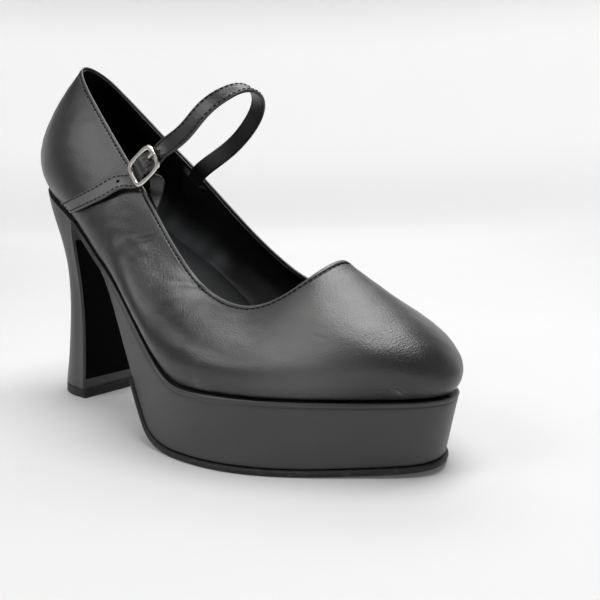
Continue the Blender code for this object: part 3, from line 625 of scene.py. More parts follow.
def thread():
    """Black sewing thread, twisted."""
    f = Finish("sewing_thread")
    twist = f.noise(5200, 1)
    tone = f.blend(twist, grey(0.003), grey(0.006))
    return f.surface(Base_Color=tone, Roughness=0.6 + twist * 0.2,
                     Normal=f.bumps((twist, 0.00006)))


def plated():
    """Polished plated metal with fine scratches."""
    f = Finish("plated_metal")
    haze = f.noise(700, 3)
    tone = f.blend(haze.smooth(0.35, 0.7), (0.83, 0.80, 0.75, 1), (0.70, 0.67, 0.62, 1))
    return f.surface(Base_Color=tone, Metallic=1.0, Roughness=0.13 + haze * 0.14,
                     Normal=f.bumps((f.noise(1600, 2), 0.00002)))


def studio_floor():
    """A pale matt floor that glows softly where it is far off behind the shoe."""
    f = Finish("pale_floor")
    tone = f.blend(f.noise(2.5, 2), (0.65, 0.65, 0.65, 1), (0.68, 0.68, 0.68, 1))
    height = f.node("ShaderNodeSeparateXYZ", values=[f.place], output="Z")
    far = f.node("ShaderNodeVectorMath", {"operation": "DOT_PRODUCT"},
                 [f.place, (-0.64, 0.75, 0.0)], output="Value")
    glow = height.smooth(0.50, 1.0, 1.0, 0.2) * far.smooth(0.2, 1.4, 0.12, 1.0) \
        * height.smooth(0.0, 0.25, 0.8, 1.0)
    glow = f.blend(glow, (0, 0, 0, 1), (1, 1, 1, 1))
    return f.surface(Base_Color=tone, Roughness=0.75, Emission_Color=glow,
                     Emission_Strength=0.57)


FINISHES = {}


def finish(make):
    """The material of a finish, made once."""
    if make not in FINISHES:
        FINISHES[make] = make()
    return FINISHES[make]


def piece(name, points, faces, make, node=None, marks=None):
    """One closed surface as a finished piece that rides on the shoe."""
    mesh = bpy.data.meshes.new(name)
    mesh.from_pydata((np.asarray(points).reshape(-1, 3) - ORIGIN).tolist(), [], faces)
    for label, values in {"painted_highlight": 0.0, "scuff": 0.0, "lined": 0.0, **(marks or {})}.items():
        flat = np.broadcast_to(values, np.shape(points)[:-1]).ravel().astype(np.float32)
        mesh.attributes.new(label, "FLOAT", "POINT").data.foreach_set("value", flat)
    mesh.materials.append(finish(make))
    mesh.shade_smooth()
    mesh.set_sharp_from_angle(angle=math.radians(42))
    made = bpy.data.objects.new(name, mesh)
    bpy.context.scene.collection.objects.link(made)
    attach(made, "root")
    if node:
        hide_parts(node)
    return made


def grid_faces(rows, count, looped=False):
    """Quads between closed rings of points, the last ring joined to the first if looped."""
    row = np.arange(rows if looped else rows - 1)[:, None]
    i = np.arange(count)[None, :]
    j, after = (i + 1) % count, (row + 1) % rows
    quads = np.stack([row * count + i, row * count + j, after * count + j, after * count + i], -1)
    return quads.reshape(-1, 4).tolist()


def strip_faces(start, count, turned):
    """Quads across a ring whose points lie in pairs, first with last."""
    last = start + count - 1
    quads = [(start + i, start + i + 1, last - i - 1, last - i) for i in range(count // 2 - 1)]
    return [q[::-1] for q in quads] if turned else quads


def outward(faces, points):
    """The faces, all turned round if the closed surface they make encloses less than nothing."""
    flat = np.asarray(points).reshape(-1, 3)
    corners = np.array([f[:3] for f in faces] + [(f[0], f[2], f[3]) for f in faces if len(f) > 3])
    a, b, c = flat[corners[:, 0]], flat[corners[:, 1]], flat[corners[:, 2]]
    middle = flat.mean(0)
    volume = np.sum((a - middle) * np.cross(b - middle, c - middle))
    return faces if volume > 0 else [f[::-1] for f in faces]


def stack(name, rings, make, node=None, marks=None):
    """A piece from rings of paired points, capped across at both ends."""
    rows, count = rings.shape[:2]
    faces = grid_faces(rows, count) + strip_faces(0, count, True) \
        + strip_faces((rows - 1) * count, count, False)
    return piece(name, rings, outward(faces, rings), make, node, marks)


def loop(name, rings, make, node=None, marks=None):
    """A piece from rings of points whose last ring joins the first."""
    rows, count = rings.shape[:2]
    return piece(name, rings, outward(grid_faces(rows, count, True), rings), make, node,
                 marks)


def carve(target, tool, operation, folded=False):
    """Join or cut a piece with another, which is used up."""
    change = target.modifiers.new("change", "BOOLEAN")
    change.operation = operation
    change.object = tool
    change.use_self = folded
    bpy.context.view_layer.update()
    graph = bpy.context.evaluated_depsgraph_get()
    mesh = bpy.data.meshes.new_from_object(target.evaluated_get(graph))
    target.modifiers.clear()
    target.data = mesh
    bpy.data.objects.remove(tool)


def full_turns(count):
    """Turns round the whole shoe, in pairs either side of the middle line."""
    return (np.arange(count) + 0.5) * 2 * math.pi / count


def column_lengths(points):
    """Distance up each column of a grid from its first row."""
    steps = np.linalg.norm(np.diff(points, axis=0), axis=-1)
    return np.concatenate([np.zeros((1,) + steps.shape[1:]), np.cumsum(steps, axis=0)])


def unevenness(points, waves, seed):
    """Soft swells between -1 and 1: a sum of sine waves in seeded directions and phases."""
    draw = np.random.default_rng(seed)
    total = 0
    for _ in range(waves[2]):
        way = unit(draw.normal(size=3)) * 2 * math.pi / draw.uniform(waves[0], waves[1])
        total = total + np.sin(points @ way + draw.uniform(0, 2 * math.pi))
    return total / math.sqrt(waves[2])


def crease_relief(points):
    """Height of the creases: each a soft trough along a bowed line with a low ridge above it."""
    relief = np.zeros(points.shape[:-1])
    along = np.linspace(0, 1, 25)
    for round_a, up_a, round_b, up_b, bow, depth, width in CREASES:
        up = up_a + (up_b - up_a) * along + bow * 4 * along * (1 - along)
        line = wall_point(math.pi * (round_a + (round_b - round_a) * along), up)
        near = np.linalg.norm(points - line.mean(0), axis=-1) < 0.03
        offset = points[near][:, None] - line
        nearest = np.linalg.norm(offset, axis=-1).argmin(1)
        apart = offset[np.arange(len(nearest)), nearest]
        run = np.gradient(line, axis=0)[nearest]
        apart = apart - run * (np.sum(apart * run, -1) / np.sum(run * run, -1))[:, None] \
            * ((nearest > 0) & (nearest < len(line) - 1))[:, None]
        away = np.linalg.norm(apart, axis=-1) * 1000
        side = np.sign(np.sum(apart * [0.3, 0, 1], -1))
        fade = np.sin(math.pi * (0.08 + 0.84 * along[nearest]))
        shape = -bell(away, width) + 0.55 * bell(away - 1.9 * width, width) * (side > 0) \
            + 0.2 * bell(away - 1.9 * width, width) * (side < 0)
        relief[near] += depth / 1000 * fade * shape
    return relief


def spots(points, places):
    """How strongly points are marked by spots round places on the wall."""
    total = np.zeros(points.shape[:-1])
    for round_, up, size, strength in places:
        middle = wall_point(math.pi * round_, up)
        total += strength * bell(np.linalg.norm(points - middle, axis=-1), size)
    return total


def wall_skin(turns, shares):
    """The upper's outer face with its creases and seam, and its normals and wall lengths."""
    ups = np.broadcast_to(shares[:, None], (len(shares), len(turns)))
    base = wall_point(turns, ups)
    normal = wall_normal(turns, ups)
    above = column_lengths(base)
    below = above[-1] - above
    swell = SKIN_SWELL * unevenness(base, (0.030, 0.075, 7), 3) * ease(0.004, 0.02, above)
    ripple = SKIN_RIPPLE * unevenness(base, (0.006, 0.014, 12), 5) * ease(0.002, 0.01, below)
    fold = EDGE_FOLD * (1 - ease(0.0012, 0.0018, below)) \
        - SEAM_GROOVE * bell(below - TOPLINE_SEAM, 0.00050)
    tuck = -SOLE_TUCK * bell(above, 0.0007)
    lift = swell + ripple + fold + tuck + crease_relief(base)
    return base + lift[..., None] * normal, normal, above, below


def wall_shares(count):
    """Shares up the wall, crowded at both edges."""
    t = np.linspace(0, 1, count)
    return t - 0.13 * np.sin(2 * math.pi * t)


def rolled_rim(outer, inner, tangent, count):
    """Half-round rows from an outer edge over to an inner one."""
    middle, reach = (outer + inner) / 2, (outer - inner) / 2
    size = np.linalg.norm(reach, axis=-1, keepdims=True)
    angle = np.linspace(0, math.pi, count + 2)[1:-1, None, None]
    return middle + np.cos(angle) * reach + np.sin(angle) * size * tangent


def add_upper():
    """The upper's outer layer: out from the sole, up to the collar, over its edge and back."""
    turns = full_turns(ROUND)
    shares = wall_shares(WALL_ROWS)
    outer, normal, above, below = wall_skin(turns, shares)
    drop = SKIN / 2 * ease(0.010, 0, below)
    tangent = unit(np.gradient(outer, axis=0))
    outer = outer - drop[..., None] * tangent
    thin = outer - SKIN * normal
    back_rows = thin[::-4]
    rim = rolled_rim(outer[-1], thin[-1], tangent[-1], 5)
    foot = rolled_rim(thin[0], outer[0], -tangent[0], 3)
    rings = np.concatenate([outer, rim, back_rows, foot])
    # Painted highlights: paler along the collar's edge and rim, in a line just above the foot, and
    # in spots on the vamp.
    highlight_share = 0.4 * (1 - ease(0.0, 0.0007, below)) + 0.25 * bell(above - 0.0022, 0.0009)
    marks = np.zeros(rings.shape[:2])
    marks[:WALL_ROWS] = highlight_share
    marks[WALL_ROWS:WALL_ROWS + len(rim)] = 0.3
    marks = np.clip(marks + spots(rings, VAMP_HIGHLIGHTS), 0, 1)
    return loop("upper_leather_skin", rings, leather, "upper",
                {"painted_highlight": marks, "scuff": np.clip(spots(rings, SCUFFS), 0, 1)})


def add_lining():
    """The lining, from just below the collar's edge to the sole, over the strap's root."""
    turns = full_turns(ROUND // 2)
    shares = wall_shares(LINING_ROWS)
    ups = np.broadcast_to(shares[:, None], (len(shares), len(turns)))
    base, normal = wall_point(turns, ups), wall_normal(turns, ups)
    below = column_lengths(base)
    below = below[-1] - below
    tangent = unit(np.gradient(base, axis=0))
    base = base - (LINING_DROP * ease(0.010, 0, below))[..., None] * tangent
    wrinkle = LINING_WRINKLE * unevenness(base * [1, 1, 0.35], (0.010, 0.026, 8), 11) \
        * ease(0.004, 0.014, below) * ease(0, 0.006, below.max(0) - below)
    near = base - (SKIN + 0.00008) * normal
    root = np.array(STRAP_ROOT)
    line = wall_point((2 - np.linspace(root[0, 0], root[-1, 0], 12)) * math.pi,
                      np.linspace(root[0, 1], root[-1, 1], 12))
    away = np.linalg.norm(base[..., None, :] - line, axis=-1).min(-1) - STRAP_WIDTH / 2
    pocket = (1 - ease(*POCKET_SPREAD, away)) * ease(0.0, POCKET_DEPTH, below)
    deep = UPPER_WALL - wrinkle + pocket * (LINING_GAP + STRAP_THICKNESS + 0.0004)
    far = base - deep[..., None] * normal
    rings = np.concatenate([near, rolled_rim(near[-1], far[-1], tangent[-1], 3), far[::-1]])
    return loop("upper_lining", rings, lining,
                marks={"painted_highlight": np.clip(spots(rings, LINING_HIGHLIGHTS), 0, 1)})


def at_height(plan, height):
    """Points over plan points at a height."""
    return np.concatenate([plan, np.broadcast_to(height, plan.shape[:-1])[..., None]], -1)


def front_turns(start, count):
    """Turns from a station round the toe and back to the station on the other side."""
    first = float(turn_of(start / SOLE_LENGTH))
    return np.linspace(first, 2 * math.pi - first, count)


def foot_plan(turns, inset):
    """The plan of the platform's foot: drawn back at the toe, a little flared at the sides."""
    plan = sole_edge(turns, inset - PLATFORM_FLARE)
    front = np.clip((plan[:, 0] / SOLE_LENGTH - TAPER_START) / (1 - TAPER_START), 0, 1)
    plan[:, 0] -= (PLATFORM_TOE_TAPER + PLATFORM_FLARE) * front ** TAPER_CURVE
    return plan


def kept_ends(plan, station):
    """Both ends of a plan ring moved onto one straight line across the shoe."""
    plan[[0, -1], 0] = station
    return plan


def add_platform():
    """The covered platform: a gutter under the upper, a bead, a wall and a rolled foot."""
    back = BREAST_TOP + GAP
    turns = front_turns(back, SOLE_ROUND)
    rings, highlight_share = [], []
    top_edge = sole_edge(turns)
    top = sole_top(top_edge[:, 0])
    for inset, dip in ((0.0075, 0.0001), (0.0042, 0.0003), (0.0030, 0.0008), (0.0022, 0.0007),
                       (0.0016, 0.0002)):
        plan = kept_ends(sole_edge(turns, inset), back)
        rings.append(at_height(plan, sole_top(plan[:, 0]) - dip))
        highlight_share.append(0.0)
    foot = foot_plan(turns, 0)
    lift = OUTSOLE_THICKNESS + GAP
    low = np.minimum(above_floor_face(foot[:, 0], lift), sole_top(foot[:, 0]) - 2 * COVER_EDGE)
    edge = np.minimum(COVER_EDGE, (top - low) / 3)
    # The rounded top edge carries a painted highlight, strongest half way round it.
    for angle in np.radians((78, 56, 34, 12)):
        plan = kept_ends(sole_edge(turns, COVER_EDGE * (1 - math.cos(angle))), back)
        rings.append(at_height(plan, top - edge * (1 - math.sin(angle))))
        highlight_share.append(0.55 * math.cos(angle - math.radians(45)) ** 8)
    wall_top, wall_low = top - edge, low + edge
    span = np.maximum(wall_top - wall_low, SHORTEST_WALL)
    down = [depth / span for depth in BEAD_ROWS]
    down += [np.full(len(span), share) for share in np.linspace(0.14, 0.97, 24)]
    for share in down:
        plan = top_edge + share[:, None] * (foot - top_edge)
        height = wall_top + share * (wall_low - wall_top)
        ring = at_height(kept_ends(plan, back), height)
        swell = COVER_SWELL * unevenness(ring, (0.018, 0.050, 6), 21) \
            - BEAD_CREASE * bell(share * span - BEAD_WIDTH, 0.00030)
        out = at_height(plan_normal(plan_curve, turns), 0.0)
        out[[0, -1]] = 0
        rings.append(ring + swell[:, None] * out)
        highlight_share.append(0.0)
    for angle in np.radians((15, 45, 75)):
        plan = kept_ends(foot_plan(turns, COVER_EDGE * (1 - math.cos(angle))), back)
        rings.append(at_height(plan, low + edge * (1 - math.sin(angle))))
        highlight_share.append(0.0)
    base = kept_ends(foot_plan(turns, 0.004), back)
    under = np.minimum(above_floor_face(base[:, 0], lift), sole_top(base[:, 0]) - 2 * COVER_EDGE)
    rings.append(at_height(base, under))
    highlight_share.append(0.0)
    rings = np.array(rings)
    marks = np.broadcast_to(np.array(highlight_share)[:, None], rings.shape[:2])
    return stack("platform_cover", rings, cover, "platform", {"painted_highlight": marks})


def add_outsole():
    """The outsole: a flat rubber sheet with rounded edges, a little proud of the platform."""
    start = OUTSOLE_START * SOLE_LENGTH
    turns = front_turns(start, SOLE_ROUND)
    rings = []
    for inset, share in ((0.0060, 1.0), (0.0016, 1.0), (0.0010, 0.97), (0.0003, 0.86),
                         (0.0, 0.70), (0.0, 0.35), (0.0002, 0.14), (0.0007, 0.02),
                         (0.0014, 0.0), (0.0080, 0.0)):
        plan = kept_ends(foot_plan(turns, inset - OUTSOLE_PROUD), start)
        rings.append(at_height(plan, above_floor_face(plan[:, 0], share * OUTSOLE_THICKNESS)))
    return stack("outsole_sheet", np.array(rings), rubber, "outsole")


def add_insole():
    """The padded sock, crowned a little and rounded down at its edge."""
    turns = full_turns(ROUND // 2)
    edge = UPPER_INSET + UPPER_WALL - SOCK_TUCK
    rings = []
    for inset, lift in ((0.0, 0.0), (0.0, 0.45), (0.0003, 0.66), (0.0010, 0.84), (0.0020, 0.94),
                        (0.0034, 0.99), (0.0060, 1.02), (0.0095, 1.04)):
        plan = sole_edge(turns, edge + inset)
        rings.append(at_height(plan, sole_top(plan[:, 0]) + GAP + lift * (INSOLE_THICKNESS - GAP)))
    return stack("insole_sock", np.array(rings), sock, "insole")


def heel_outline(heights):
    """Rings of the heel's plan at shares of the seat's height.

    The back is half an ellipse, the flanks are straight, and towards the seat the section
    turns into the seat's own outline.
    """
    count = HEEL_ROUND_POINTS
    half = np.linspace(-1, 1, count)
    angle = np.clip(half * (count - 1) / (count - 3), -1, 1) * math.pi / 2
    seat = sole_edge(np.mod(float(turn_of(BREAST_TOP / SOLE_LENGTH)) * -half, 2 * math.pi))
    seat[[0, -1], 0] = BREAST_TOP
    table = np.array(HEEL)
    back, breast, width, blend = Spline(table[:, 0], table[:, 1:])(heights).T[..., None]
    start = HEEL_TIP_BACK + back * HEEL_TIP_LENGTH
    length = HEEL_TIP_LENGTH * (1 + breast - back)
    x = start + HEEL_ROUND * length * (1 - np.cos(angle))
    x[:, [0, -1]] = start + length
    section = np.stack([x, width * HEEL_TIP_WIDTH / 2 * np.sin(angle)], -1)
    plan = section + np.clip(blend, 0, 1)[..., None] * (seat - section)
    return at_height(plan, heights[:, None] * (sole_top(plan[..., 0]) - GAP))


def with_breast(rings):
    """Rings with points across the flat breast, and how far its panel lies back at each.

    The step runs all round the panel, a border's width inside both edges.
    """
    steps = np.array([0.0004, 0.0010, 0.0014, 0.0017, 0.0020, 0.0026])
    first, last = rings[:, -1], rings[:, 0]
    width = np.linalg.norm(last - first, axis=-1)[:, None]
    inner = steps[-1] + (width - 2 * steps[-1]) * np.linspace(0, 1, 20)[1:-1]
    apart = np.concatenate([np.broadcast_to(steps, (len(rings), len(steps))), inner,
                            width - steps[::-1]], 1)
    line = first[:, None] + (apart / width)[..., None] * (last - first)[:, None]
    side = np.minimum(apart, width - apart)
    height, soft = line[..., 2], 0.0006
    depth = BREAST_RECESS * ease(BREAST_BORDER - soft / 2, BREAST_BORDER + soft / 2, side) \
        * ease(BREAST_LOW, BREAST_LOW + soft, height) \
        * (1 - ease(BREAST_HIGH, BREAST_HIGH + soft, height))
    line[..., 0] -= depth
    return np.concatenate([rings, line], 1), depth


def fan_faces(start, count, middle, turned):
    """Triangles from a middle point to a ring."""
    faces = [(start + i, start + (i + 1) % count, middle) for i in range(count)]
    return [f[::-1] for f in faces] if turned else faces


def capped(name, rings, make, node=None, marks=None):
    """A piece from closed rings, closed at both ends by fans to their middles."""
    rows, count = rings.shape[:2]
    points = np.concatenate([rings.reshape(-1, 3), rings[:1].mean(1), rings[-1:].mean(1)])
    faces = grid_faces(rows, count) + fan_faces(0, count, rows * count, True) \
        + fan_faces((rows - 1) * count, count, rows * count + 1, False)
    flat = {k: np.append(np.broadcast_to(v, (rows, count)).ravel(), [0, 0])
            for k, v in (marks or {}).items()}
    return piece(name, points, outward(faces, points), make, node, flat)


def add_heel():
    """The covered heel with its folded border round a sunk breast panel, and its rubber tip."""
    seat_height = sole_top(np.array(0.02))
    low = (HEEL_TIP_HEIGHT + GAP) / seat_height
    heights = np.concatenate([low + np.array([0.0, 0.0035, 0.009]), np.linspace(0.07, 0.985, 84),
                              [0.994, 1.0]])
    rings, sunk = with_breast(heel_outline(heights))
    middle = rings.mean(1, keepdims=True)
    inset = np.zeros(len(heights))
    inset[0], inset[1] = 0.0006, 0.0002
    rings[..., :2] -= inset[:, None, None] * unit(rings[..., :2] - middle[..., :2])
    # Painted highlights along the border's step round the breast and at the breast's corners.
    marks = np.zeros(rings.shape[:2])
    marks[:, -sunk.shape[1]:] = 0.35 * bell(sunk - 0.0003, 0.0002)
    marks[:, 0] = marks[:, HEEL_ROUND_POINTS - 1] = 0.4
    heel = capped("heel_cover", rings, cover, "heel", {"painted_highlight": marks})
    # Painted shade: a black sheet in the breast, where it lies in shade between heel and platform.
    sides = heel_outline(np.linspace(*SHADE_SHEET_ENDS, 60))[:, [-1, 0]]
    across = np.linspace(0, 1, 21)[:, None]
    border = SHADE_SHEET_BORDER / np.linalg.norm(sides[:, 1] - sides[:, 0], axis=-1)[:, None, None]
    share = border + (1 - 2 * border) * across
    front = sides[:, :1] + share * (sides[:, 1:] - sides[:, :1]) - [SHADE_SHEET_SINK, 0, 0]
    shade_sheet = np.concatenate([front, front[:, ::-1] - [SHADE_SHEET_THICKNESS, 0, 0]], 1)
    stack("heel_breast_painted_shade", shade_sheet, panel)
    cut = heel_outline(np.linspace(0, low, 3))
    base = cut[0].copy()
    rows = []
    for height, inset in ((0.0, 0.0008), (0.0003, 0.0002), (0.0008, 0.0), (0.0029, 0.0),
                          (0.0031, 0.0002), (0.0033, 0.0), (0.0047, 0.0), (0.0050, 0.0003)):
        ring = base + (cut[-1] - base) * (height / HEEL_TIP_HEIGHT)
        ring[:, 2] = height
        ring[:, :2] -= inset * unit(ring[:, :2] - ring[:, :2].mean(0))
        rows.append(ring)
    tip = capped("heel_top_piece", np.array(rows), rubber, "heel_tip")
    return heel, tip


def strap_width_run(run, dip):
    """The unit vector across a strap that runs one way and dips by degrees to the front."""
    angle = np.radians(dip)
    across = np.stack([np.cos(angle), 0 * angle, -np.sin(angle)], -1)
    return unit(across - np.sum(across * run, -1, keepdims=True) * run)


def buckle_axes():
    """The buckle's centre and its unit vectors along, across and out of the frame."""
    reach = np.array([STRAP_REACH, STRAP_SPAN, STRAP_RISE])
    base = np.array([STRAP_BASE[0], 0.0, STRAP_BASE[1]])
    along = unit(np.array(BUCKLE_HEADING))
    across = strap_width_run(-along, np.array(float(BUCKLE_DIP)))
    return base + reach * BUCKLE_CENTRE, along, across, np.cross(-along, across)


def in_buckle(along, across, out):
    """A place in the buckle's own axes as a point in space."""
    centre, e1, e2, e3 = buckle_axes()
    along, across, out = np.broadcast_arrays(*(np.asarray(v, float) for v in (along, across, out)))
    return centre + along[..., None] * e1 + across[..., None] * e2 + out[..., None] * e3


def wall_band(rounds, ups, offset, half, count):
    """Sections of a band that lies along the wall, at an offset from its outer face.

    The band's middle passes through the places given. Each section follows the wall's curve,
    is square to the band's run and starts at the upper edge.
    """
    turns = np.mod(np.asarray(rounds) * math.pi, 2 * math.pi)
    step = 1e-3
    rows = []
    middles = wall_point(turns, np.asarray(ups))
    for i, (turn, up) in enumerate(zip(turns, ups)):
        here = min(up, 1 - step)
        round_run = (wall_point(turn + step, here) - wall_point(turn - step, here)) / (2 * step)
        up_run = (wall_point(turn, here + step) - wall_point(turn, here - step)) / (2 * step)
        out = wall_normal(turn, here)
        first, last = max(i - 1, 0), min(i + 1, len(turns) - 1)
        run = unit(middles[last] - middles[first])
        across = unit(np.cross(out, run))
        across = across * np.sign(across @ DOWN)
        moves = np.linalg.lstsq(np.stack([round_run, up_run], 1), across, rcond=None)[0]
        spread = np.linspace(-half, half, count)
        reach = np.clip(up + moves[1] * spread, 0, 1)
        at = turn + moves[0] * spread
        over = (up + moves[1] * spread - reach)[:, None] * up_run
        rows.append(wall_point(at, reach) + over + offset * wall_normal(at, reach))
    return np.array(rows)


def strap_sections():
    """Sections of the strap's middle face, from the medial root to the end of the tail."""
    half, rails = STRAP_WIDTH / 2, BAND_RAILS
    sewn = UPPER_WALL + LINING_GAP + STRAP_THICKNESS / 2
    root = np.array(STRAP_ROOT)
    tail = np.array(STRAP_TAIL)
    inside = wall_band(2 - root[:, 0], root[:, 1], -sewn, half, rails)
    share = np.linspace(0, 1, rails)[:, None]
    turns = math.pi * (tail[:, 0] + share * (tail[:, 2] - tail[:, 0])).T
    ups = (tail[:, 1] + share * (tail[:, 3] - tail[:, 1])).T
    laid = GAP + STRAP_THICKNESS * (tail[:, 4, None, None] + 0.5)
    outside = wall_point(turns, ups) + laid * wall_normal(turns, ups)
    arch = np.array(STRAP_ARCH)
    base = np.array([STRAP_BASE[0], 0.0, STRAP_BASE[1]])
    middle = base + arch[:, :3] * [STRAP_REACH, STRAP_SPAN, STRAP_RISE]
    ends = np.concatenate([inside[-1:, rails // 2], middle, in_buckle([half], [0], [0])])
    run = unit(ends[2:] - ends[:-2])
    across = strap_width_run(run, arch[:, 3])
    spread = np.linspace(-half, half, rails)
    free = middle[:, None] + spread[:, None] * across[:, None]
    weave = np.array(STRAP_WEAVE)
    under = -BUCKLE_THICKNESS / 2 - GAP - STRAP_THICKNESS / 2
    over = -BAR_DROP + BAR_DIAMETER / 2 + 2 * GAP + ANCHOR_THICKNESS + STRAP_THICKNESS / 2
    through = in_buckle((weave[:, 0] * BUCKLE_LENGTH / 2)[:, None], spread,
                        (under + (over - under) * weave[:, 1])[:, None])
    return np.concatenate([inside, free, through, outside])


def band_rows(sections, gap):
    """A band's sections, evened out to lie about a gap apart, and their places along it."""
    middle = sections[:, sections.shape[1] // 2]
    length = np.concatenate([[0], np.cumsum(np.linalg.norm(np.diff(middle, axis=0), axis=1))])
    rails = Spline(length, sections.reshape(len(sections), -1))
    at = np.linspace(0, length[-1], int(round(length[-1] / gap)) + 1)
    return rails(at).reshape(len(at), -1, 3), at


def band_face(rows, shares):
    """Points across a band's rows at shares of its width, and their outward normals."""
    count, rails = rows.shape[:2]
    across = Spline(np.linspace(0, 1, rails), rows.transpose(1, 0, 2).reshape(rails, -1))
    fine = across(shares).reshape(len(shares), count, 3).transpose(1, 0, 2)
    side = across(shares + 1e-3) - across(shares - 1e-3)
    side = side.reshape(len(shares), count, 3).transpose(1, 0, 2)
    return fine, unit(np.cross(np.gradient(fine, axis=0), side))


def band_profile(width, thickness, parting):
    """A band's closed cross-section as shares of its width and heights over its middle face.

    Flat faces meet in rounded edges, with a parting groove between the two layers.
    """
    half, soft = thickness / 2, 0.42 * thickness
    face = np.linspace(soft, width - soft, 15)
    angle = np.radians((70, 45, 20))
    edge = width - soft + soft * np.cos(angle)
    lift = half - soft + soft * np.sin(angle)
    place = np.concatenate([face, edge, [width - parting * soft], edge[::-1]])
    height = np.concatenate([np.full(len(face), half), lift, [0], -lift[::-1]])
    place = np.concatenate([place, width - place])
    height = np.concatenate([height, -height])
    return place / width, height


def add_band(name, rows, size, parting, node, lift=0.0, face_highlight=0.0):
    """A closed leather band round its middle face, of a width and a thickness.

    The lift raises its outer face. Its edges are painted paler as highlights, and its outer face
    too as far as asked.
    """
    width, thickness = size
    place, height = band_profile(width, thickness, parting)
    fine, normal = band_face(rows, place)
    height = height + lift * (height > 0)
    rings = fine + height[..., None] * normal
    highlight_share = np.broadcast_to(0.5 * bell(np.minimum(place, 1 - place) * width, 0.0004),
                           rings.shape[:2]) + np.reshape(face_highlight, (-1, 1)) * (height > 0)
    lined = np.broadcast_to((height < -0.1 * thickness) * 1.0, rings.shape[:2])
    return capped(name, rings, leather, node, {"painted_highlight": highlight_share, "lined": lined})


def stitches(name, line, normals):
    """Half-sunk threads in a row along a line: blunt ellipsoids, a pitch apart."""
    length = np.concatenate([[0], np.cumsum(np.linalg.norm(np.diff(line, axis=0), axis=1))])
    count = int(length[-1] // STITCH_PITCH)
    at = (np.arange(count) + 0.5) * length[-1] / count
    centre = np.stack([np.interp(at, length, line[:, i]) for i in range(3)], -1)
    out = unit(np.stack([np.interp(at, length, normals[:, i]) for i in range(3)], -1))
    ahead = np.stack([np.interp(at + 1e-4, length, line[:, i]) for i in range(3)], -1)
    behind = np.stack([np.interp(at - 1e-4, length, line[:, i]) for i in range(3)], -1)
    run = unit(ahead - behind)
    side = np.cross(out, run)
    sides, rows = 8, 7
    angle = np.arange(sides) * 2 * math.pi / sides
    along = np.cos(np.linspace(math.pi, 0, rows))[1:-1, None]
    radius = np.sqrt(1 - along ** 2) ** 0.5 * THREAD / 2
    ring = (along[..., None] * STITCH_LENGTH / 2 * run[:, None, None]
            + (radius * np.cos(angle))[..., None] * side[:, None, None]
            + (radius * np.sin(angle))[..., None] * out[:, None, None]) + centre[:, None, None]
    tips = centre[:, None] + STITCH_LENGTH / 2 * np.stack([-run, run], 1)
    points = np.concatenate([ring.reshape(count, -1, 3), tips], 1)
    inner = rows - 2
    one = grid_faces(inner, sides) + fan_faces(0, sides, inner * sides, True) \
        + fan_faces((inner - 1) * sides, sides, inner * sides + 1, False)
    one = outward(one, points[0])
    size = points.shape[1]
    faces = [tuple(v + k * size for v in f) for k in range(count) for f in one]
    return piece(name, points.reshape(-1, 3), faces, thread)


def add_topline_stitches():
    """The row of stitches round the collar, in the seam's groove."""
    turns = full_turns(2400)
    shares = np.linspace(0.5, 1, 240)
    base = wall_point(turns, shares[:, None])
    length = column_lengths(base)
    below = length[-1] - length
    row = np.abs(below - TOPLINE_SEAM).argmin(0)
    up = shares[row]
    line = wall_point(turns, up)
    normal = wall_normal(turns, up)
    return stitches("topline_stitches", line + 0.00003 * normal, normal)


def add_root_stitches():
    """The row round the strap's root, through the upper's medial side."""
    root = np.array(STRAP_ROOT)
    turns, ups = (2 - root[:, 0]) * math.pi, root[:, 1]
    share = np.linspace(0.08, 0.90, 40)
    middle_turn = np.interp(share, np.linspace(0, 1, len(root)), turns)
    middle_up = np.interp(share, np.linspace(0, 1, len(root)), ups)
    middle = wall_point(middle_turn, middle_up)
    normal = wall_normal(middle_turn, middle_up)
    side = unit(np.cross(np.gradient(middle, axis=0), normal))
    reach = STRAP_WIDTH / 2 - STRAP_SEAM
    left, right = middle - reach * side, middle + reach * side
    foot = left[0] + (right[0] - left[0]) * np.linspace(0, 1, 20)[1:-1, None]
    line = np.concatenate([left[::-1], foot, right])
    normals = np.concatenate([normal[::-1], np.tile(normal[0], (len(foot), 1)), normal])
    return stitches("root_stitches", line + 0.0001 * normals, normals)


